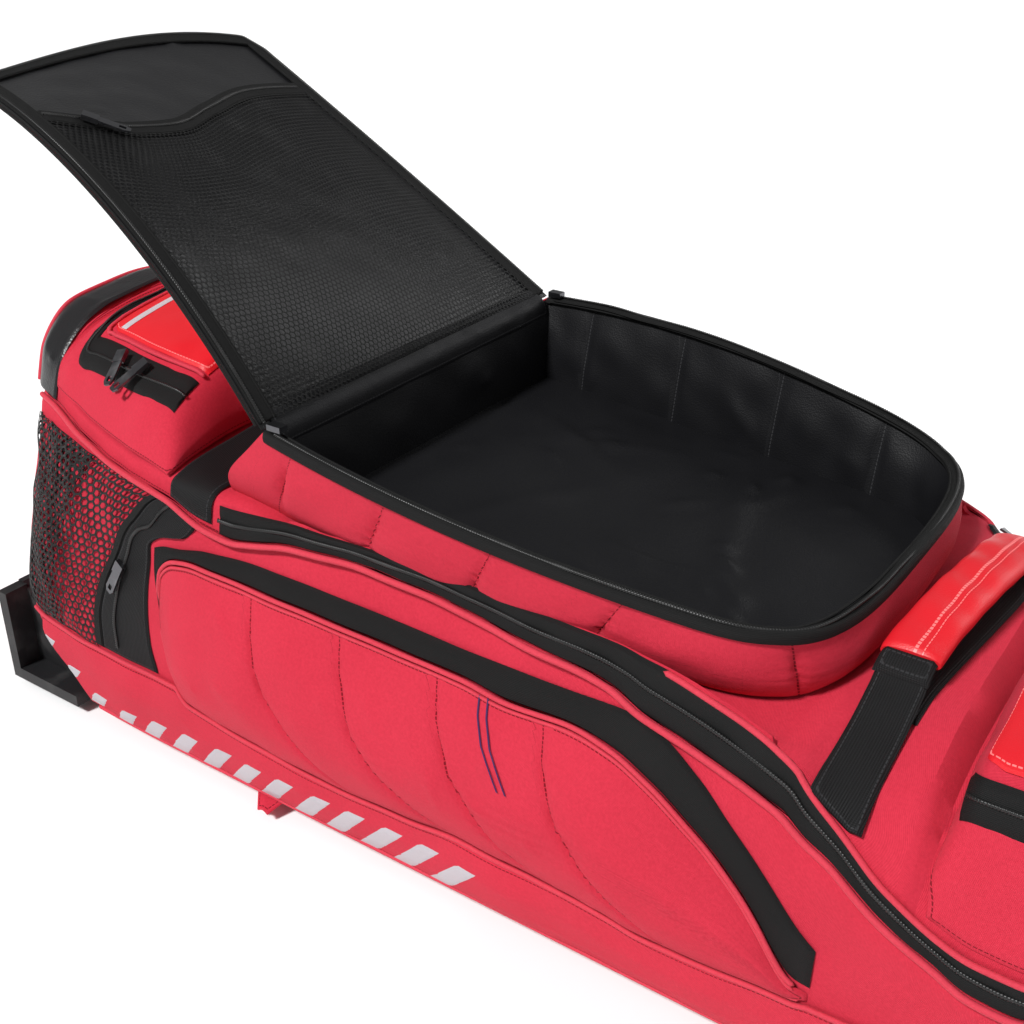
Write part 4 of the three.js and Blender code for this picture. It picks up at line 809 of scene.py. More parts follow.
BLACK_TAPE = ribbed("black_zip_tape", (0.015, 0.015, 0.015), (0.006, 0.006, 0.006), 1.2, 0.62)
BLACK_COIL = moulded("black_zip_coil", (0.012, 0.012, 0.012), (0.03, 0.03, 0.03), 0.34, 700.0, 0.1,
                     shine=0.35)
BLACK_NET = moulded("black_net", (0.008, 0.008, 0.008), (0.02, 0.02, 0.02), 0.5, 900.0, 0.3, shine=0.2)
WHITE_TAPE = woven("white_tape", (0.6, 0.6, 0.62), (0.44, 0.44, 0.47), 1.2, 0.2, 0.6, 0.1,
                   (1, 1, 1), shine=0.4)
STRIPE_TAPE = woven("reflective_tape", (0.52, 0.50, 0.53), (0.38, 0.37, 0.40), 1.0, 0.15, 0.45, 0.0,
                    (1, 1, 1), shine=0.6)
PURPLE_PRINT = woven("purple_print", (0.06, 0.012, 0.10), (0.03, 0.005, 0.05), 1.2, 0.15, 0.5, 0.0,
                     (1, 1, 1), shine=0.4)
BLACK_PLASTIC = moulded("black_plastic", (0.012, 0.012, 0.013), (0.04, 0.04, 0.04), 0.45, 800.0, 0.25)
RUBBER = moulded("wheel_rubber", (0.018, 0.018, 0.019), (0.06, 0.058, 0.055), 0.7, 500.0, 0.3)
GUNMETAL = moulded("gunmetal", (0.13, 0.13, 0.14), (0.3, 0.3, 0.31), 0.3, 300.0, 0.05, metallic=1.0)


# The two halves of the bag

END_STEPS = np.arange(9) ** 1.6 * 0.9
BODY_X = np.unique(np.concatenate([np.linspace(LAND[0], LAND[3], 150), LAND[0] + END_STEPS,
                                   LAND[3] - END_STEPS]))
BODY_MIDDLE = np.array([mix(LAND[0], LAND[3], 0.5), 0.0, 200.0])
SKIN, END_RINGS = 2.4, 12


def with_ends(sections, bulge):
    """Closes both ends of a loft: each end section shrinks to the middle of its seam line in twelve
    rings, bulging outwards by a quarter sine."""
    share = np.sin(np.linspace(0, math.pi / 2, END_RINGS + 1))[:-1, None, None]
    parts = [sections]
    for end, out in ((0, -1), (-1, 1)):
        section = sections[end][None]
        middle = (section[:, :1] + section[:, -1:]) / 2
        rings = mix(middle, section, share)
        rings[..., 0] += out * bulge * np.sqrt(1 - share[..., 0] ** 2)
        parts = [rings] + parts if end == 0 else parts + [rings[::-1]]
    return np.concatenate(parts)


def lower_bag():
    """Lower half: for each station the side runs from the seam down to the bottom corner, a quarter
    circle turns it under, and the base is flat."""
    x = BODY_X[:, None]
    station = station_at(x)
    bottom = bottom_z(x)
    side_z = mix(bottom + BOTTOM_CORNER, seam_z(station), np.linspace(1, 0, 16)[None])
    side_y = side_half_width(station, side_z)
    angle = np.linspace(0, math.pi / 2, 7)[None, 1:]
    corner_y = side_y[:, -1:] - BOTTOM_CORNER * (1 - np.cos(angle))
    corner_z = bottom + BOTTOM_CORNER * (1 - np.sin(angle))
    half_y = np.concatenate([side_y, corner_y], 1)
    half_z = np.concatenate([side_z, corner_z], 1)
    base_y = corner_y[:, -1:] * np.linspace(1, -1, 7)[None, 1:-1]
    y = np.concatenate([-half_y, -base_y, half_y[:, ::-1]], 1)
    z = np.concatenate([half_z, bottom + 0 * base_y, half_z[:, ::-1]], 1)
    sections = np.stack([np.broadcast_to(x, y.shape), y, z], -1)
    points = with_ends(sections, 5.0)
    up = grid_up(points, points - BODY_MIDDLE)
    firm = np.clip((points[..., 2] - 40) / 60, 0, 1)
    fine = (0.5 * ripple(points, 38, 11) + 1.4 * folds(points, 90, 9, 48, 14)) * firm
    sew("lower_bag_cloth", shell(points, up, SKIN, fine - 2.6, ends=False), [RED_CLOTH],
        ["body_tub"])


def upper_skin():
    """Upper half: the deck sections with shallow creases, let down under the compartment."""
    station = station_at(BODY_X)[:, None]
    across = np.linspace(4, -4, 80)[None]
    points = with_ends(DECK.at(station, across), 4.0)
    up = np.zeros_like(points)
    up[END_RINGS:-END_RINGS] = DECK.up(station, across)
    up[:END_RINGS], up[-END_RINGS:] = [-1, 0, 0], [1, 0, 0]
    x, y = points[..., 0], np.abs(points[..., 1])
    under = (np.clip((x + 8) / 16, 0, 1) * np.clip((OPENING - 5 - x) / 16, 0, 1)
             * np.clip((RIM_WIDTH_HINGE / 2 - 10 - y) / 12, 0, 1))
    fine = (0.6 * ripple(points, 34, 12) + 1.6 * folds(points, 60, 8, 44, 13)) * (1 - under) - 4.0 * under
    sew("upper_skin_cloth", shell(points, up, SKIN, fine - 3.0, ends=False), [RED_CLOTH],
        ["top_deck"])


# Top compartment

def rim_ring():
    """The closed outline of the rim: straight near side, a superellipse round the handle end, the far
    side, and back along the hinge. Even steps, in four runs."""
    straight = OPENING - RIM_CORNER
    angle = np.linspace(0, math.pi / 2, 600)
    run = straight + RIM_CORNER * np.sin(angle) ** (2 / CORNER_POWER)
    share = np.cos(angle) ** (2 / CORNER_POWER)
    length = running(np.stack([run, share * 180, 0 * run], -1), 0)
    even = np.linspace(0, length[-1], 70)
    run, share = np.interp(even, length, run), np.interp(even, length, share)
    x = np.concatenate([np.linspace(0, straight, 90)[:-1], run])
    wide = np.concatenate([np.ones(89), share])

    def side_line(side):
        u = np.clip(x / LID_LENGTH, 0, 1)
        half = mix(RIM_WIDTH_HINGE, RIM_WIDTH_END, u) / 2 + RIM_BOW[side] * 4 * u * (1 - u)
        lift = RIM_LIFT_FAR * 4 * u * (1 - u) * wide if side > 0 else 0 * x
        return np.stack([x, side * wide * half, rim_line(x) + lift], -1)

    near, far = side_line(-1), side_line(1)[::-1]
    hinge = mix(far[-1], near[0], np.linspace(0, 1, 60)[1:-1, None])
    return np.concatenate([near, far[1:], hinge]), len(near) + len(far) - 1


RIM, RIM_OPEN = rim_ring()


def rim_inward():
    """Level directions into the compartment, square to the outline, longer at its sharp corners."""
    before = RIM - np.roll(RIM, 1, 0)
    after = np.roll(RIM, -1, 0) - RIM
    first = before[:, :2] / np.linalg.norm(before[:, :2], axis=1, keepdims=True)
    second = after[:, :2] / np.linalg.norm(after[:, :2], axis=1, keepdims=True)
    inward = np.stack([-first[:, 1] - second[:, 1], first[:, 0] + second[:, 0]], -1)
    inward /= np.linalg.norm(inward, axis=1, keepdims=True)
    reach = 1 / np.maximum(inward[:, 0] * -first[:, 1] + inward[:, 1] * first[:, 0], 0.5)
    return np.concatenate([inward * reach[:, None], np.zeros((len(RIM), 1))], 1)


INWARD = rim_inward()


def closed(grid):
    """Repeats the first row of a ring at its end."""
    return np.concatenate([grid, grid[:1]])


def deck_height(x, y):
    """Height of the upper skin over a point of the plan, read off its sections."""
    across = np.linspace(0, 4, 120)[None]
    section = DECK.at(station_at(x)[:, None], across)
    order = np.argmax(section[..., 1] >= np.abs(y)[:, None] - 0.01, axis=1)
    return section[np.arange(len(x)), order, 2]


def box_panels():
    """Wall of the compartment from rim to foot. Each panel between two slanted seams is puffed; a seam
    is a narrow dip with small puckers beside it."""
    slope = 1 - np.clip(RIM[:, 0] / 140, 0, 1)
    foot = np.stack([2 + RIM[:, 0] * 0.985 - 64 * slope ** 2, RIM[:, 1] * 0.9], -1)
    foot_z = deck_height(foot[:, 0], foot[:, 1]) - 1.5
    foot = np.concatenate([foot, foot_z[:, None]], 1)
    t = np.linspace(0, 1, 25)[None, :, None]
    points = mix(RIM[:, None], foot[:, None], t)
    flat_t = t[..., 0]
    x = points[..., 0]
    on_side = np.clip((np.abs(RIM[:, 1:2]) - 100) / 60, 0, 1)
    puff = 8.5 * arch(flat_t ** 1.35) ** 0.8
    dip, pucker, line = 0 * puff, 0 * puff, 30 + 0 * puff
    for top, lean in BOX_SEAMS:
        away = x - (top - lean * flat_t)
        dip = dip + bell(away, 2.2) * 0.45 + fade(away, 15) * 0.5
        pucker = pucker + fade(away, 8) * np.sin(flat_t * 40 + top)
        line = nearer(away, line)
    puff = puff * (1 - np.clip(dip * on_side, 0, 0.95)) + 0.5 * pucker * on_side * arch(flat_t)
    outside = -INWARD[:, None]
    wave = 0.7 * ripple(points, 60, 21) + 2.0 * folds(points, 40, 6, 30, 22)
    puff = puff + wave * arch(flat_t)
    face = closed(points + outside * puff[..., None])
    rear = closed(points - outside * 2.6)
    line = closed(np.where(on_side > 0.5, line, 30.0))
    seam = np.stack([STITCH_INSET + line, running(face, 1)], -1)
    top = np.stack([rear[:, 0], face[:, 0]], 1)
    sew("box_panels", [patch(face, 0, False, seam), patch(rear, 0, True, seam), patch(top)], [RED_CLOTH],
        ["box_wall"])


def lining():
    """Black lining: the wall falls to a floor a little inside the rim, drawn in at upright seams, and
    the creased floor closes on its middle."""
    inset = RIM + INWARD * 4.2 - [0, 0, 0.6]
    floor = np.stack([mix(RIM[:, 0], OPENING / 2, 0.06), RIM[:, 1] * 0.875], -1)
    floor = np.concatenate([floor, (floor_z(floor[:, 0]) - 1.8)[:, None]], 1)
    t = np.linspace(0, 1, WALL_ROWS)[None, :, None]
    wall = mix(inset[:, None], floor[:, None], t)
    flat_t = t[..., 0]
    seams = np.min([np.abs(wall[..., 0] - place) for place in LINING_SEAMS], 0)
    sag = 3.0 + 1.5 * ripple(wall, 60, 31) + 3.4 * folds(wall, 60, 5, 30, 32) - 3.5 * bell(seams, 5)
    wall = wall + INWARD[:, None] * (arch(flat_t) * np.clip(sag + 1.5, 1.5, 10))[..., None]
    middle = np.array([OPENING / 2, 0.0, float(floor_z(OPENING / 2)) - 1.8])
    s = np.linspace(0, 1, 32)[None, 1:, None]
    level = mix(floor[:, None], middle, s)
    level[..., 2] = floor_z(level[..., 0]) - 1.8
    lumps = 1.5 * ripple(level, 120, 34) + 4.5 * folds(level, 34, 8, 110, 35)
    level[..., 2] += np.clip(lumps + 1.5, 0, 8) * np.clip(s[..., 0] * 5, 0, 1)
    level[:, -1] = level[:, -1].mean(0)
    face = closed(np.concatenate([wall, level], 1))
    rear = face - [0, 0, 0.5]
    rear[:, :WALL_ROWS] = face[:, :WALL_ROWS] - closed(INWARD)[:, None] * 0.9
    rim = np.stack([face[:, 0], rear[:, 0]], 1)
    deep = running(face, 1)
    lines = np.full(face.shape[:2], 50.0)
    for place in LINING_SEAMS:
        lines = nearer(face[..., 0] - place, lines)
    upright = (np.arange(face.shape[1]) < WALL_ROWS)[None] & (np.abs(face[..., 1]) > 100)
    on_wall = (np.abs(lines) < QUILT_REACH) & upright
    seam = np.where(on_wall[..., None], np.stack([STITCH_INSET + lines, deep], -1),
                    np.stack([deep, running(face, 0)], -1))
    sew("compartment_cloth", [patch(face, 0, True, seam), patch(rear, 0, False, seam), patch(rim)],
        [BLACK_NYLON], ["compartment_lining"])


def ring_at(inset, height):
    """The open part of the rim, moved in and up."""
    return (RIM + INWARD * inset)[:RIM_OPEN] + [0, 0, height]


def rim_zip():
    """Zip tape bound over the rim: two sections of nine points, in and up, carried along it."""
    over = ((10, -1.5), (8.5, 0.8), (6, 1.9), (3.5, 2.3), (1.5, 2.5), (0, 2.2), (-1.6, 0.6),
            (-2.6, -2.5), (-2.2, -6.0))
    under = ((9.6, -2.2), (8, 0), (6, 0.6), (3.5, 0.9), (1.5, 0.9), (0.4, 0.6), (-0.6, -0.6),
             (-1.5, -3), (-1.6, -6.2))
    face = np.stack([ring_at(*point) for point in over], 1)
    rear = np.stack([ring_at(*point) for point in under], 1)
    face[:, :, 0] = np.maximum(face[:, :, 0], 2.0)
    rear[:, :, 0] = np.maximum(rear[:, :, 0], 2.0)
    across = running(face, 1)
    seam = np.stack([across, running(face, 0)], -1)
    edges = [patch(np.stack([face[:, k], rear[:, k]], 1)) for k in (0, -1)]
    sew("rim_zip_tape", [patch(face, 0, True, seam), patch(rear, 0, False, seam)] + edges, [BLACK_TAPE],
        ["rim_zip"], sharp=70)
    coil("rim_zip_coil", ring_at(2.6, 2.9)[3:-3], BLACK_COIL)
    piping("rim_inner_cord", ring_at(9.2, 0.6)[3:-3], 1.3, BLACK_TAPE, "black_zip_tape")


# Lid

def lid_body():
    """Padded lid: black lining inside, creased towards its free end, red cloth outside that swells
    between the edges, and a taped edge round it."""
    u = np.concatenate([[0.002, 0.012, 0.025], np.linspace(0.04, 1, 86)])[:, None]
    w = np.concatenate([[0, 0.006, 0.014], np.linspace(0.025, 0.975, 64), [0.986, 0.994, 1]])[None]
    points, up = LID.at(u, w), LID.up(u, w)
    free = np.clip((u - 0.6) / 0.25, 0, 1) * arch(w) ** 0.5
    soft = arch(w) * np.clip(u * 4, 0, 1)
    crease = 2.4 * folds(points, 60, 5, 34, 41) * free + 0.6 * ripple(points, 60, 42) * soft
    inside = points + up * np.clip(crease, -0.6, 2.6)[..., None]
    thick = mix(1.4, LID_THICKNESS, np.clip(u / 0.05, 0, 1))
    swell = 7.0 * arch(w) * arch(u) + 0.8 * ripple(points, 90, 43) * arch(w)
    edge = np.minimum(np.minimum(w, 1 - w) * 380, (1 - u) * LID_LENGTH)
    round_off = quarter(edge / 5)
    depth = np.broadcast_to(thick * mix(0.35, 1, round_off) + swell * round_off, points.shape[:2])
    outside = points - up * depth[..., None]
    seam = np.stack([np.broadcast_to(edge, points.shape[:2]), running(points, 0)], -1)
    sides = [
        patch(np.stack([inside[:, 0], outside[:, 0]], 1), 2),
        patch(np.stack([outside[:, -1], inside[:, -1]], 1), 2),
        patch(np.stack([inside[-1], outside[-1]], 1), 2, True),
        patch(np.stack([outside[0], inside[0]], 1), 2, True),
    ]
    crossing = np.cross(inside[1, 0] - inside[0, 0], inside[0, 1] - inside[0, 0])
    turned = bool(np.dot(crossing, up[0, 0]) < 0)
    for part in sides:
        part["turned"] = part["turned"] != turned
    sew("lid_body", [patch(inside, 0, turned, seam), patch(outside, 1, not turned, seam)] + sides,
        [BLACK_SHINY, RED_CLOTH, BLACK_TAPE], ["top_lid"])


def lid_share(u):
    """Width of the border as a share of the lid's width."""
    return LID_BORDER / mix(RIM_WIDTH_HINGE, LID_END_WIDTH, u)


def lid_border_rows():
    """Pairs of outer and inner points of the border, in lid shares, round three sides."""
    end = 1 - LID_BORDER / LID_LENGTH
    u = [0.012, 0.04, 0.12, 0.24, 0.36, 0.48, 0.6, 0.72, 0.84, end]
    rows = [((a, 0.003), (a, lid_share(a))) for a in u]
    rows += [((0.997, 0.03), (end, lid_share(1) + 0.01))]
    rows += [((0.997, w), (end, w)) for w in (0.12, 0.3, 0.5, 0.7, 0.88)]
    rows += [((0.997, 0.97), (end, 0.99 - lid_share(1)))]
    rows += [((a, 0.997), (a, 1 - lid_share(a))) for a in reversed(u)]
    return np.array(rows)


def lid_trim():
    """Border tape with its coil along the outer edge, and a cord where it meets the lining."""
    rows = lid_border_rows()
    fine = np.linspace(0, len(rows) - 1, 400)
    low = np.floor(fine).astype(int).clip(0, len(rows) - 2)
    path = rows[low] + (rows[low + 1] - rows[low]) * (fine - low)[:, None, None]
    share = np.linspace(0, 1, 8)[None, :, None]
    place = mix(path[:, :1], path[:, 1:], share)
    lay("lid_border_tape", LID, place[..., 0], place[..., 1], 2.4, 0.4, [BLACK_TAPE], "black_lining",
        ["lid_border"], roll=2.2, slack=False)

    def line_at(where, lift):
        place = mix(path[:, 0], path[:, 1], where)
        return LID.lifted(place[:, 0], place[:, 1], lift)

    coil("lid_border_coil", line_at(0.16, 3.0)[::3], BLACK_COIL, core=from_lid, slack=False)
    piping("lid_border_cord", line_at(0.97, 2.0), 1.5, BLACK_TAPE, "black_lining", core=from_lid, slack=False)
    edge = LID.lifted(path[:, 0, 0], np.clip(path[:, 0, 1], 0.001, 0.999), -4.0)
    piping("lid_outer_piping", edge, 2.0, BLACK_TAPE, "black_zip_tape", core=from_lid, slack=False)


def hinge_cloth():
    """Strip of lining that carries the lid: it rises out of the compartment wall and folds over on to
    the inside of the lid."""
    w = np.linspace(0.03, 0.97, 120)[:, None]
    y = mix(-RIM_WIDTH_HINGE / 2, RIM_WIDTH_HINGE / 2, w)
    low = [np.stack([x + 0 * y, y, RIM_HEIGHT + z + 0 * y], -1) for x, z in (
        (8.5, -14.0), (7.5, -8.0), (6.2, -3.5), (4.5, -0.5))]
    high = [LID.lifted(u, w, 1.6) for u in (0.006, 0.014, 0.024, 0.034)]
    rows = flow(np.moveaxis(np.concatenate(low + high, 1), 1, 0), 22)
    points = np.moveaxis(rows, 0, 1)
    up = np.broadcast_to(np.array([1.0, 0.0, 0.35]) / 1.06, points.shape)
    sew("hinge_cloth", shell(points, up, 1.2, 0.6 * folds(points, 24, 4, 14, 45), slack=False), [BLACK_NYLON])


def lid_net():
    """Net pocket of the lid: fine hexagons that belly out of the lid's inside, bound along the top."""
    wide, tall = 376.0, 300.0

    def at(s, t):
        w, share = s / wide, t / tall
        top = row_line(LID_NET_TOP, 1, w)
        u = mix(0.012, top - 0.004, share)
        edge = lid_share(u) + 0.002
        belly = 9.0 * arch(np.sqrt(np.clip(share, 0, 1))) * arch(w)
        place = mix(edge, 1 - edge, w)
        return LID.lifted(u, place, 2.6 + belly), LID.up(u, place)

    netting("lid_net", at, wide, tall, 5.4, 0.68, BLACK_NET, ["lid_net_pocket"])
    w = np.linspace(0, 1, 150)[:, None]
    share = np.linspace(0, 1, 12)[None]
    u = row_line(LID_NET_TOP, 1, w) - 0.006 + share * 0.047
    edge = lid_share(u) + 0.002
    lay("lid_net_tape", LID, u, mix(edge, 1 - edge, w), 1.8, 1.6, [BLACK_TAPE], "black_zip_tape",
        ["lid_net_binding"], slack=False)
    line = row_line(LID_NET_TOP, 1, w[:, 0]) + 0.02
    edge = lid_share(line) + 0.004
    points = LID.lifted(line, mix(edge, 1 - edge, w[:, 0]), 3.7)
    coil("lid_net_coil", points[::3], BLACK_COIL, core=from_lid, slack=False)


# Seams, bands and the main zip

def seam_path(start, reach, height_of):
    """Chosen points of a line along both sides and round the handle end, at a height for each station."""
    along = np.concatenate([np.linspace(start, 2.9, 60), [2.95]])
    points = []
    for side in (-1, 1):
        lift = np.where(along > 2.9, reach * 1.6, reach)
        line = SIDES[side].lifted(along, height_of(along), lift)
        points.append(line if side < 0 else line[::-1])
    end_z = float(height_of(np.array(3.0)))
    end_half = float(side_half_width(3.0, end_z))
    end_x = LAND[3] + reach + 0.8
    share = np.linspace(-0.9, 0.9, 9)
    end = np.stack([np.full(9, end_x), share * end_half, np.full(9, end_z)], -1)
    near = [[end_x - 3, -end_half - reach * 1.2, end_z]]
    far = [[end_x - 3, end_half + reach * 1.2, end_z]]
    return np.concatenate([points[0], near, end, far, points[1]])


def from_end(points):
    """Away from the bag, level: sideways along the sides, and outwards round the handle end."""
    end = np.clip(points[..., 0] - 645, 0, 25) * 16
    return np.stack([end, points[..., 1], 0 * end], -1)


def main_zip():
    """Wide zip band between the main seam and the compartment, its coil along the middle in a shallow
    trough, and corded piping on its edges."""
    low = seam_path(0.85, 0.8, lambda s: seam_z(s) + 3.0)
    high = seam_path(0.85, 0.8, lambda s: zip_top_z(s) + 1.5)
    rails = flow(np.stack([low, high], 1), 460)
    share = np.linspace(0, 1, 13)[None, :, None]
    points = mix(rails[:, :1], rails[:, 1:], share)
    up = grid_up(points, from_end(points))
    trough = 1.2 * bell(share[..., 0] - 0.5, 0.12)
    fine = 0.5 * ripple(points, 40, 51)
    sew("main_zip_tape", shell(points, up, 2.6, fine - trough, roll=1.5), [BLACK_TAPE],
        ["main_zip_band"])
    middle = mix(rails[:, 0], rails[:, 1], 0.5) + up[:, 6] * 2.0
    coil("main_zip_coil", middle[::4], BLACK_COIL, width=1.9, core=from_end)
    line = flow(seam_path(0.08, 3.6, seam_z), 520)
    piping("main_seam_piping", line, 2.7, RED_PIPING, "red_piping", ["main_piping"], core=from_end)
    line = flow(seam_path(1.78, 2.6, zip_top_z), 300)
    piping("zip_top_piping", line, 2.3, RED_PIPING, "red_piping", core=from_end)


def wheel_end_trim():
    """Piping arch at the end seam, the wide shiny band behind it and the webbing girdle."""
    across = np.linspace(-3.75, 3.75, 260)
    line = DECK.lifted(0.03, across, 2.8)
    piping("end_seam_piping", line, 2.7, RED_PIPING, "red_piping", ["end_piping"])
    across = np.linspace(-3.72, 3.72, 130)[None]
    station = np.linspace(0.04, 0.157, 22)[:, None]
    fine = 1.8 * folds(DECK.at(station, across), 44, 3, 24, 61)
    lay("end_band_cloth", DECK, station, across, 1.6, 1.0 + fine, [BLACK_SHINY], "black_lining", ["end_band"])
    station = station_at(np.linspace(-119.5, -67.5, 18))[:, None]
    lay("girdle_webbing", DECK, station, across, 2.2, 1.0, [BLACK_WEBBING], "black_webbing", ["girdle_band"],
        roll=1.2)


# Pockets on top

def eased(count, ends=0.75):
    """Shares from 0 to 1, closer together at both ends."""
    s = np.linspace(0, 1, count)
    return s - ends * np.sin(2 * math.pi * s) / (2 * math.pi)


def top_pocket(prefix, span, end_wall, cap_span, band, flap, turns, seed):
    """A domed pocket skin, the zip band round its cap and the cap of coated cloth."""
    ground = pocket_ground(*span, end_wall)
    station = mix(span[0], span[1], eased(78))[:, None]
    across = np.linspace(-2.85, 2.85, 86)[None]
    points = ground.at(station, across)
    fine = 0.7 * ripple(points, 44, seed) + 2.4 * folds(points, 24, 5, 30, seed + 1)
    lay(prefix + "_pocket_cloth", ground, station, across, 2.6, 0.6 + 0.8 * fine, [RED_CLOTH],
        "red_polyester", [prefix + "_pocket"], fill=0.5)
    per_mm = (span[1] - span[0]) / (x_at(span[1]) - x_at(span[0]))
    start, stop = mix(span[0], span[1], cap_span[0]), mix(span[0], span[1], cap_span[1])
    low, high = band
    along = np.linspace(stop, start, 9)
    rows = [((s, -low), (s, -high)) for s in along]
    turn = ((0.35, 0.98, 0.99), (0.65, 0.93, 0.97), (0.85, 0.86, 0.93), (0.97, 0.74, 0.84), (1, 0.45, 0.5))
    if turns:
        bend = [((start - 14 * per_mm * a, -low * b), (start, -high * c)) for a, b, c in turn]
        rows += bend + [((start - 14 * per_mm, 0), (start, 0))]
        rows += [((one[0], -one[1]), (two[0], -two[1])) for one, two in reversed(rows[:-1])]
        lines = [(rows, [prefix + "_pocket_zip"], "")]
    else:
        mirrored = [((one[0], -one[1]), (two[0], -two[1])) for one, two in rows]
        lines = [(rows, [prefix + "_pocket_zip_near"], "_near"),
                 (mirrored, [prefix + "_pocket_zip_far"], "_far")]
    for chosen, nodes, ending in lines:
        place = flow(np.array(chosen) * [100, 1], 260 if turns else 90) / [100, 1]
        place = mix(place[:, :1], place[:, 1:], np.linspace(0, 1, 8)[None, :, None])
        lay(prefix + "_zip_tape" + ending, ground, place[..., 0], place[..., 1], 1.8, 3.6, [BLACK_TAPE],
            "black_zip_tape", nodes, roll=1.4)
        line = mix(place[:, 0], place[:, -1], 0.5)
        coil(prefix + "_zip_coil" + ending, ground.lifted(line[:, 0], line[:, 1], 5.8)[::3], BLACK_COIL)
    edge = np.linspace(start + 5 * per_mm, stop, 48)[:, None]
    draw = np.sqrt(np.clip((edge - start) / (16 * per_mm), 0, 1))
    width = flap * mix(0.8, 1.0, draw)
    share = np.linspace(-1, 1, 60)[None]
    points = ground.at(edge, share * width)
    fine = 1.2 * folds(points, 10, 6, 30, seed + 2)
    lay(prefix + "_cap_cloth", ground, edge, share * width, 2.0, 4.0 + fine, [RED_COATED],
        "red_coated_cloth", [prefix + "_pocket_cap"])
    return ground, start, stop, per_mm


def shoe_pocket():
    """Shoe pocket with the piping round its cap and the bare label strip."""
    ground, start, stop, per_mm = top_pocket("shoe", (0.165, 0.685), 26.0, (0.19, 0.92), (1.85, 1.24), 1.08,
                                             True, 71)
    half = [(s, -1.15) for s in np.linspace(stop, start + 16 * per_mm, 6)]
    half += [(start + 7 * per_mm, -1.12), (start + 3.6 * per_mm, -1.0), (start + 3.2 * per_mm, -0.6)]
    path = half + [(start + 3.2 * per_mm, 0)] + [(s, -value) for s, value in reversed(half)]
    place = flow(np.array(path) * [100, 1], 320) / [100, 1]
    points = ground.lifted(place[:, 0], place[:, 1], 5.6)
    piping("shoe_cap_piping", points, 2.0, RED_PIPING, "red_piping", ["shoe_pocket_piping"])
    station = start + (19 + np.linspace(0, 9, 6))[:, None] * per_mm
    across = np.linspace(-1.02, -0.3, 24)[None]
    lay("bare_label_strip", ground, station, across, 0.6, 6.3, [WHITE_TAPE], "white_tape", ["label_strip"],
        roll=0.6)


def end_pocket():
    """End pocket at the handle end, with its two straight zips."""
    top_pocket("end", (2.495, 2.95), 16.0, (0.07, 0.84), (1.95, 1.2), 1.02, False, 81)


# Grab handle

def upper_skin_across(station, across):
    """The skin between opening and end pocket, with its section held the same along the bag."""
    station, across = np.broadcast_arrays(np.asarray(station, float), np.asarray(across, float))
    held = section_point(np.full(station.shape, 2.2), across, DECK_ROWS)
    here = section_point(station, across, DECK_ROWS)
    return np.stack([x_at(station), held[..., 1], np.maximum(held[..., 2], here[..., 2])], -1)


HANDLE_GROUND = Ground(upper_skin_across, (0.02, 0.05), from_core)


def handle_centre(across):
    """Station and lift of the middle of the handle."""
    share = section_point(2.22, across, DECK_ROWS)[..., 1] / HALF_WIDTH
    lift = HANDLE_LIFT * row_line(HANDLE_RISE, 1, np.abs(share))
    return 2 + row_line(HANDLE_PLACE, 1, share), lift


SLEEVE_SEAM = 4.0
HANDLE_WIDE = np.linspace(-WEBBING / 2, WEBBING / 2, 14)[None] / HANDLE_END


def handle_straps():
    """Webbing that lies on the skin at both ends and rises between them, and a flat strap below it."""
    across = np.linspace(-2.85, 1.95, 120)[:, None]
    station, lift = handle_centre(across)
    lay("handle_webbing", HANDLE_GROUND, station + HANDLE_WIDE, across, 2.6, 1.2 + lift, [BLACK_WEBBING],
        "black_webbing", ["grab_handle"], roll=1.2)
    across = np.linspace(-1.35, 1.7, 80)[:, None]
    station = handle_centre(across)[0]
    lay("handle_under_strap", HANDLE_GROUND, station + HANDLE_WIDE * 0.95 + 0.012, across, 2.0, 1.0,
        [BLACK_WEBBING], "black_webbing", roll=1.0)


def handle_sleeve():
    """Stuffed sleeve of coated cloth round the middle of the handle: a rounded oblong section with a
    sunk seam along its top, smaller at both mouths, which are closed."""
    angle = np.linspace(0, 2 * math.pi, 41)[None]
    across = np.linspace(-1, 1, 90)[:, None]
    station, lift = handle_centre(across)
    full = mix(0.72, 1.0, quarter(np.minimum(across + 1, 1 - across) / 0.06))
    side = np.sign(np.cos(angle)) * np.abs(np.cos(angle)) ** 0.75 * (WEBBING / 2 + 3.6)
    up = np.sign(np.sin(angle)) * np.abs(np.sin(angle)) ** 0.8 * 7.5
    seam_groove = 1 - 0.16 * bell(side - SLEEVE_SEAM, 2.0) * (up > 0)
    rise = 4.0 + lift + up * full * seam_groove
    place = station + side * mix(0.94, 1.0, full) / HANDLE_END
    grid = np.broadcast_to(across, place.shape)
    base, out = HANDLE_GROUND.at(place, grid), HANDLE_GROUND.up(place, grid)
    skin = base + out * (rise + 0.5 * ripple(base, 26, 91))[..., None]
    caps = [patch(np.stack([skin[k], np.broadcast_to(skin[k].mean(0), skin[k].shape)], 1), 0, turned)
            for k, turned in ((0, False), (-1, True))]
    run = running(skin, 0)
    from_seam = np.abs(side - SLEEVE_SEAM) * np.where(up > 0, 1, 40)
    seam = np.stack([np.broadcast_to(from_seam, run.shape), run], -1)
    sew("handle_sleeve", [patch(skin, 0, False, seam)] + caps, [RED_COATED],
        ["grab_sleeve"])


def handle_folds():
    """A fold of webbing at each mouth of the sleeve."""
    for low, high, name in ((-1.16, -0.99, "near"), (0.99, 1.16, "far")):
        across = np.linspace(low, high, 14)[:, None]
        station, lift = handle_centre(across)
        lay("handle_fold_" + name, HANDLE_GROUND, station + HANDLE_WIDE * 1.06, across, 3.2, 3.6 + lift,
            [BLACK_WEBBING], "black_webbing", roll=1.6)


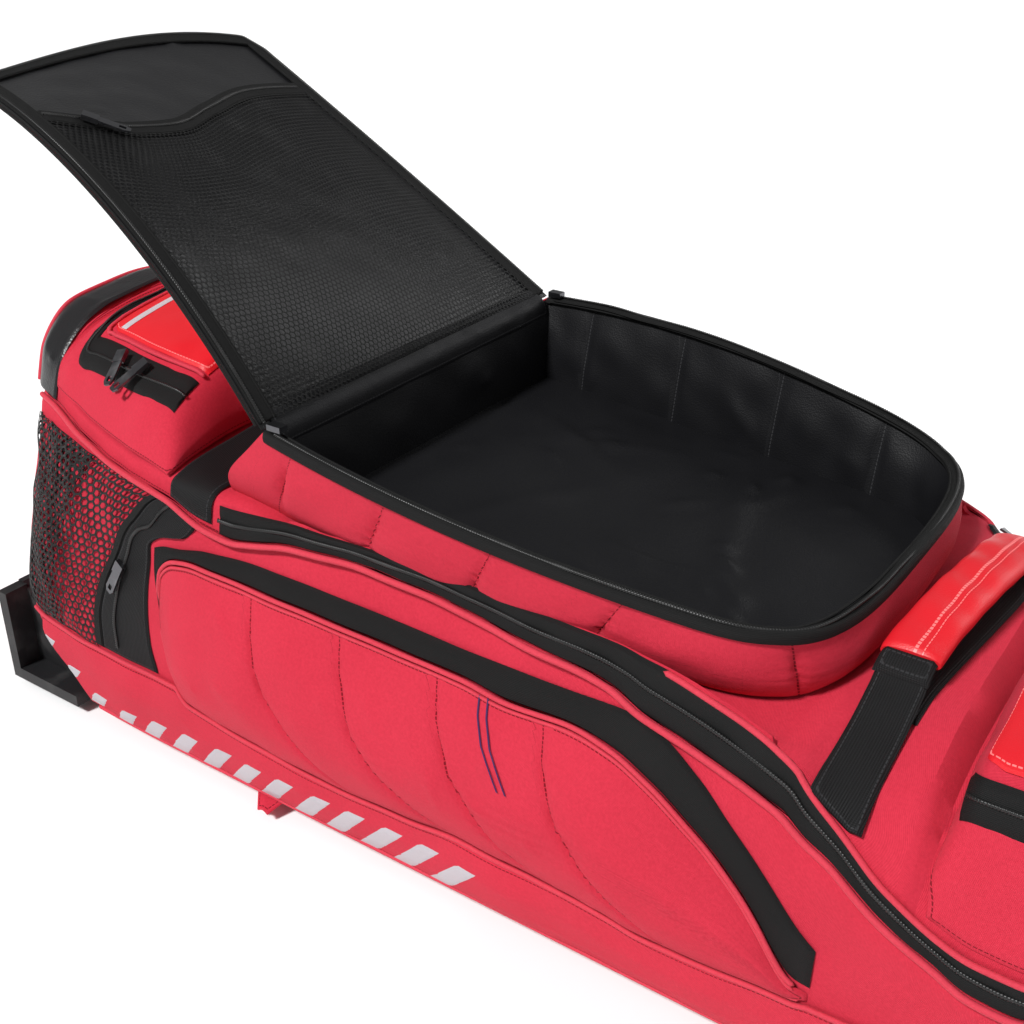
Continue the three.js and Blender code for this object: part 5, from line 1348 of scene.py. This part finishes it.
def far_strap():
    """Flat strap on the skin at the far side."""
    station = np.linspace(2.01, 2.15, 12)[:, None]
    lay("far_strap_webbing", DECK, station, np.linspace(2.1, 2.7, 16)[None], 2.4, 1.2, [BLACK_WEBBING],
        "black_webbing", ["far_strap"], roll=1.2)


# Sides

def leaf_x(share):
    """Place along the bag of a share of the leaf."""
    return mix(LEAF_START, LEAF_END, share)


def leaf_swell(share):
    """The leaf is full over its length and falls to the seam at both ends by quarter sines."""
    ends = np.minimum(np.minimum(share / 0.12, (1 - share) / 0.3), 1)
    return np.sin(math.pi / 2 * np.clip(ends, 0, 1))


def quilt_lean(z):
    """How far a quilting line has run back at a height."""
    return np.interp(z, [95, 120, 144, 172, 215, 250], [110, 76, 50, 25, 7, 0])


def panel_top_z(station):
    """Top of the lower panel: level, but always just below the leaf."""
    share = np.clip((x_at(station) - LEAF_START) / (LEAF_END - LEAF_START), 0, 1)
    return np.minimum(PANEL_TOP * HEIGHT, HEIGHT * row_line(LEAF_ROWS, 1, share) - 6)


def side_leaf(side):
    """Quilted pocket leaf: a swollen sheet between its lower and top edges, drawn in along four curved
    quilting lines with puckers beside them."""
    ground, name = SIDES[side], NAMES[side]
    share = mix(0.003, 0.998, eased(276, 0.5))[:, None]
    v = eased(54, 0.5)[None]
    slanted = np.clip(np.minimum(share / 0.12, (1 - share) / 0.3), 0, 1)
    place = share + 0.12 * slanted * (1 - v)
    z = HEIGHT * mix(row_line(LEAF_ROWS, 1, place), row_line(LEAF_ROWS, 2, place), v)
    x = leaf_x(place)
    swell = LEAF_DEPTH * arch(v ** 0.8) + LEAF_TOP_LIFT * v
    full = leaf_swell(place)
    inner = arch(v) ** 0.6
    groove, pucker, quilt = 0 * x, 0 * x, 50 + 0 * x
    for number, top in enumerate(QUILT_TOPS):
        away = x - top - quilt_lean(z)
        groove = groove + 3.0 * bell(away, 1.9) + 4.2 * fade(away, 12)
        pucker = pucker + fade(away, 9) * np.sin(z / 1.7 + 2 * np.sin(away / 7) + number)
        quilt = np.where(np.abs(away) < np.abs(quilt), away * 0.8, quilt)
    lift = full * (swell - (groove - 0.35 * pucker) * inner)
    points = ground.at(station_at(x), z)
    lift = lift + inner * full * (0.6 * ripple(points, 52, 101) + 2.2 * folds(points, 26, 5, 34, 102))
    patches = shell(points, ground.up(station_at(x), z), 2.0, np.maximum(lift, 0) + 0.6, quilt=quilt)
    patches += printed_lines(ground, side)
    sew("side_leaf_" + name, patches, [RED_CLOTH, PURPLE_PRINT],
        ["side_pocket_" + name])


def leaf_zip(side):
    """Zip tape over the top edge of the leaf, arched between its two lines."""
    ground, name = SIDES[side], NAMES[side]
    share = np.linspace(0, 1, 160)[:, None]
    station = station_at(leaf_x(share))
    low = HEIGHT * row_line(LEAF_ROWS, 2, share) + 6.5
    high = HEIGHT * row_line(LEAF_ROWS, 3, share) + 0.5
    v = np.linspace(0, 1, 14)[None]
    lift = leaf_swell(share) * LEAF_TOP_LIFT * np.linspace(1, 0, 14)[None] + 0.8
    lay("leaf_zip_tape_" + name, ground, station, mix(low, high, v), 1.8, lift + 1.4 * arch(v),
        [BLACK_TAPE], "black_zip_tape", ["side_pocket_zip_" + name], roll=1.4)


def leaf_pipings(side):
    """Corded piping along the leaf: two lines at its top edge and one round its foot."""
    ground, name = SIDES[side], NAMES[side]
    share = np.linspace(0.006, 0.985, 280)
    station = station_at(leaf_x(share))
    for ending, rise, out, radius, nodes in (
            ("", 4.0, 3.4, 2.0, ["side_pocket_piping_" + name]), ("_low", -1.2, 3.0, 1.5, [])):
        height = HEIGHT * row_line(LEAF_ROWS, 2, share) + rise
        lift = leaf_swell(share) * LEAF_TOP_LIFT + out
        piping("leaf_piping" + ending + "_" + name, ground.lifted(station, height, lift), radius, RED_PIPING,
               "red_piping", nodes, core=from_end)
    share = np.concatenate([np.linspace(0.003, 0.03, 30), np.linspace(0.033, 0.992, 240)])
    height = HEIGHT * row_line(LEAF_ROWS, 1, share) + 0.5
    line = ground.lifted(station_at(leaf_x(share)), height, 2.2)
    piping("leaf_foot_piping_" + name, line, 1.6, RED_PIPING, "red_piping", core=from_end)


def leaf_lift(x, z):
    """Swell of the leaf above its ground, without its quilting."""
    share = (x - LEAF_START) / (LEAF_END - LEAF_START)
    low, high = row_line(LEAF_ROWS, 1, share), row_line(LEAF_ROWS, 2, share)
    v = np.clip((z / HEIGHT - low) / (high - low), 0, 1)
    return leaf_swell(share) * (LEAF_DEPTH * arch(v ** 0.8) + LEAF_TOP_LIFT * v)


def printed_lines(ground, side):
    """A narrow double line printed on the near leaf, following the quilting."""
    if side > 0:
        return []
    parts = []
    for top in PRINT_PLACES:
        z = np.linspace(244, 182, 60)[:, None]
        lean = np.interp(z, [170, 182, 210, 230, 250], [44, 32.5, 12, 4, 0])
        x = top + lean + np.linspace(-0.8, 0.8, 4)[None]
        grid = np.broadcast_to(z, x.shape)
        station = station_at(x)
        points, up = ground.at(station, grid), ground.up(station, grid)
        groove = 3.2 * fade(x - QUILT_TOPS[2] - quilt_lean(grid), 16)
        parts += shell(points, up, 0.5, leaf_lift(x, grid) - groove + 3.6, roll=0.3, finish=1)
    return parts


def net_edge(z):
    """Place of the right edge of the net at a height."""
    return WHEEL_END * row_line(NET_EDGE_ROWS, 1, z / HEIGHT)


def panel_edge(z):
    """Place of the right edge of the zip panel at a height."""
    return WHEEL_END * row_line(NET_EDGE_ROWS, 2, z / HEIGHT)


def below_seam(x, z):
    """Station and height of a place on the side, kept under the main seam."""
    station = station_at(x)
    return station, np.minimum(z, seam_z(station) - 3.0)


def side_net(side):
    """Net pocket that bellies out, with a second net gathered behind its left part."""
    ground, name = SIDES[side], NAMES[side]
    wide, tall = 150.0, NET_HIGH - NET_LOW

    def at(s, t):
        u, v = s / wide, t / tall
        z = mix(NET_LOW, NET_HIGH, v)
        belly = 12 * arch(u) * arch(np.clip(v, 0, 1) ** 0.7)
        station, height = below_seam(mix(NET_LEFT, net_edge(z) - 8, u), z)
        points, up = ground.lifted(station, height, 2.0 + belly), ground.up(station, height)
        return points + up * (rumple(points) + 0.8 * ripple(points, 40, 111))[..., None], up

    netting("side_net_" + name, at, wide, tall, 8.4, 1.15, BLACK_NET, ["net_pocket_" + name])

    def gathered(s, t):
        points, up = at(s * 0.94, t)
        return points - up * (1.5 + 1.2 * np.sin(s / 7.0 + t / 30)[..., None]), up

    netting("side_net_gathers_" + name, gathered, 88.0, tall, 6.6, 1.2, BLACK_NET, [])


def zip_panel(side):
    """Binding of the net, and the black panel beside it with an upright zip."""
    ground, name = SIDES[side], NAMES[side]
    z = mix(NET_LOW, NET_HIGH, np.linspace(0, 1, 70)[:, None])
    edge = net_edge(z)
    x = mix(edge - 10, edge + 1, np.linspace(0, 1, 8)[None])
    lay("net_binding_tape_" + name, ground, *below_seam(x, z), 2.4, 1.0, [BLACK_TAPE], "black_zip_tape",
        ["net_binding_" + name], roll=1.4)
    x = mix(edge, panel_edge(z) + 3, np.linspace(0, 1, 26)[None])
    lay("zip_panel_cloth_" + name, ground, *below_seam(x, z), 1.8, 0.8, [BLACK_WEBBING], "black_lining",
        ["zip_panel_" + name], roll=1.4)
    z = mix(NET_LOW, NET_HIGH, np.linspace(0.05, 0.96, 90))
    line = ground.lifted(*below_seam(mix(net_edge(z), panel_edge(z), 0.34), z), 3.3)
    coil("panel_zip_coil_" + name, line, BLACK_COIL, width=1.7, core=from_end)


def panel_foot_z(x, top):
    """Lower edge of the lower panel: above the bottom edge, and always below its top."""
    return np.minimum(bottom_z(x) + PANEL_FOOT, top - 8)


def panel_slack(ground, x, z, v):
    """How far the lower panel stands off at a share v of its height: its slack hangs in a soft roll."""
    roll = 5.5 * arch(v) ** 1.2 * np.clip((v - 0.1) / 0.5, 0, 1)
    points = ground.at(station_at(x), z)
    swell = 0.9 * ripple(points, 64, 121) + 1.2 * ripple(points, 130, 122)
    return 0.8 + roll * 0.6 + arch(v) ** 0.5 * swell


def stripes(ground):
    """Slanted reflective stripes on the lower panel, taller towards the middle of the bag."""
    parts = []
    s, t = np.linspace(0, 1, 8)[:, None], np.linspace(0, 1, 12)[None]
    for number, foot in enumerate(STRIPE_FEET):
        tall = np.interp(number, [0, 1, 4, 6, 12], [12, 14, 30, 38, 44])
        low_edge = float(bottom_z(foot + 10)) + 9.0 + (4 if foot < -270 else 0)
        x = foot + 22 * s + tall * 0.9 * t
        z = low_edge + tall * t + 0 * s
        station = station_at(x)
        top = panel_top_z(station) - 1.0
        low = panel_foot_z(x, top)
        stand = panel_slack(ground, x, z, (z - low) / (top - low)) + 1.9
        parts += shell(ground.at(station, z), ground.up(station, z), 0.5, stand, roll=0.3, finish=1)
    return parts


def lower_panel(side):
    """Red panel along the bottom with its stripes, and corded piping above and below."""
    ground, name = SIDES[side], NAMES[side]
    x = np.concatenate([np.linspace(PANEL_START, -280, 18)[:-1], np.linspace(-280, PANEL_END, 170)])[:, None]
    station = station_at(x)
    top = panel_top_z(station) - 1.0
    v = np.linspace(0, 1, 24)[None]
    z = mix(panel_foot_z(x, top), top, v)
    points, up = ground.at(station, z), ground.up(station, z)
    patches = shell(points, up, 2.0, panel_slack(ground, np.broadcast_to(x, z.shape), z, v))
    patches += stripes(ground)
    sew("lower_panel_cloth_" + name, patches, [RED_CLOTH, STRIPE_TAPE],
        ["lower_panel_" + name])
    station = station_at(np.linspace(-352, PANEL_END, 300))
    line = ground.lifted(station, panel_top_z(station) + 0.6, 3.0)
    piping("lower_seam_piping_" + name, line, 2.0, RED_PIPING, "red_piping", ["lower_piping_" + name],
           core=from_end)
    x = np.linspace(-272, PANEL_END, 260)
    bottom = bottom_z(x)
    y = side_half_width(station_at(x), bottom + BOTTOM_CORNER) - 5.0
    line = np.stack([x, side * y, bottom + 7.0], -1)
    piping("hem_piping_" + name, line, 2.1, RED_PIPING, "red_piping", ["bottom_piping_" + name],
           core=from_end)


# Wheels and base

def wheel(side):
    """Wheel turned about its axle: a hub with five hollows, a rim and a tyre with a tread of shallow bars."""
    name = NAMES[side]
    half = [(5.2, 0.5), (9, 0.5), (10.5, 0.44), (22.5, 0.4), (24, 0.47), (27.0, 0.47), (28.2, 0.4),
            (34, 0.44), (36.6, 0.4), (37.6, 0.3), (WHEEL_RADIUS, 0.15)]
    profile = np.array([(5.2, -0.5)] + half + [(reach, -across) for reach, across in reversed(half)])
    shares = np.linspace(0, 1, 5)[:-1]
    fine = np.concatenate([mix(profile[:-1], profile[1:], share)[:, None] for share in shares], 1)
    fine = np.concatenate([fine.reshape(-1, 2), profile[-1:]])
    angle = np.linspace(0, 2 * math.pi, 121)[:, None]
    reach, across = fine[None, :, 0], fine[None, :, 1] * WHEEL_WIDTH
    tread = np.where(reach > 37.4, 0.55 * (np.sin(angle * 30) > 0.2), 0)
    hollow = 3.4 * np.clip(np.sin(angle * 5) * 1.6, 0, 1) * np.exp(-((reach - 16.5) / 4.2) ** 4)
    reach = reach - tread
    across = across - np.sign(across) * hollow
    x = WHEEL_X + reach * np.cos(angle)
    z = WHEEL_RADIUS + reach * np.sin(angle)
    points = np.stack([x, side * WHEEL_Y + across + 0 * angle, z], -1)
    finish = np.where((fine[:-1, 0] + fine[1:, 0]) / 2 > 27.5, 0, 1)
    parts = []
    edges = np.flatnonzero(np.diff(finish)) + 1
    for start, stop in zip([0, *edges], [*edges, len(finish)]):
        parts.append(patch(points[:, start:stop + 1], int(finish[start])))
    sew("wheel_" + name + "_turned", parts, [RUBBER, BLACK_PLASTIC], ["wheel_" + name],
        body=name + "_wheel", sharp=35)


def base_tab():
    """Folded tab of red cloth under the near edge."""
    s, t = np.linspace(-19, 19, 30)[:, None], np.linspace(0, 1, 22)[None]
    narrow = mix(1.0, 0.35, t)
    x = -33 + s * narrow + 6 * t
    y = -HALF_WIDTH + 20 - 21 * t
    z = GROUND + 2.5 - 5.0 * t ** 1.5 + 1.2 * np.cos(s / 6) * t
    points = np.stack([x, y + 0 * s, z + 0 * s], -1)
    up = np.broadcast_to([0.0, -0.3, 0.95], points.shape)
    sew("base_tab_cloth", shell(points, up, 2.0, slack=False), [RED_CLOTH], ["base_tab"])


def hard_parts():
    """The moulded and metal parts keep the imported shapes."""
    names = ["base_panel", "base_runner_near", "base_runner_far", "wheel_housing_near", "wheel_housing_far"]
    pieces = {name: BLACK_PLASTIC for name in names}
    names = ["far_strap_fitting", "hinge_slider_near", "hinge_slider_far", "lid_net_puller",
             "shoe_puller_left", "shoe_puller_right", "zip_panel_puller_near", "zip_panel_puller_far"]
    pieces.update({name: GUNMETAL for name in names})
    for name, material in pieces.items():
        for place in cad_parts[name].material_slots:
            place.material = material


# Floor, light and camera

def studio():
    """A pale floor, a pale room, three suns and the camera of the photograph."""
    bpy.ops.mesh.primitive_plane_add(size=FLOOR_SIZE)
    floor = bpy.context.object
    floor.name = "studio_floor"
    material, shader = new_finish("studio_floor")
    tone = blend_colour(material, speckle(material, 2.0), (0.93, 0.93, 0.93), (0.95, 0.95, 0.95))
    material.node_tree.links.new(tone, shader.inputs["Base Color"])
    shader.inputs["Roughness"].default_value = 0.9
    shader.inputs["Specular IOR Level"].default_value = 0.1
    floor.data.materials.append(material)
    world = bpy.data.worlds.new("studio")
    world.use_nodes = True
    background = world.node_tree.nodes["Background"]
    background.inputs[0].default_value = (1.0, 1.0, 1.0, 1)
    background.inputs[1].default_value = ROOM_LIGHT
    bpy.context.scene.world = world
    for name, turn, spread, power in SUNS:
        data = bpy.data.lights.new(name, "SUN")
        data.angle, data.energy = math.radians(spread), power
        lamp = bpy.data.objects.new(name, data)
        lamp.location = (0, 0, 3)
        lamp.rotation_euler = [math.radians(angle) for angle in turn]
        bpy.context.scene.collection.objects.link(lamp)
    data = bpy.data.cameras.new("camera")
    data.lens, data.sensor_width = LENS, SENSOR
    camera = bpy.data.objects.new("camera", data)
    camera.location = CAMERA_PLACE
    camera.rotation_euler = (math.radians(90 - CAMERA_DOWN), 0, math.radians(CAMERA_ROUND))
    bpy.context.scene.collection.objects.link(camera)
    bpy.context.scene.camera = camera
    bpy.context.scene.view_settings.view_transform = "Standard"


studio()
lower_bag()
upper_skin()
box_panels()
lining()
rim_zip()
lid_body()
lid_trim()
hinge_cloth()
lid_net()
main_zip()
wheel_end_trim()
shoe_pocket()
end_pocket()
handle_straps()
handle_sleeve()
handle_folds()
far_strap()
for which in (-1, 1):
    side_leaf(which)
    leaf_zip(which)
    leaf_pipings(which)
    side_net(which)
    zip_panel(which)
    lower_panel(which)
    wheel(which)
base_tab()
hard_parts()
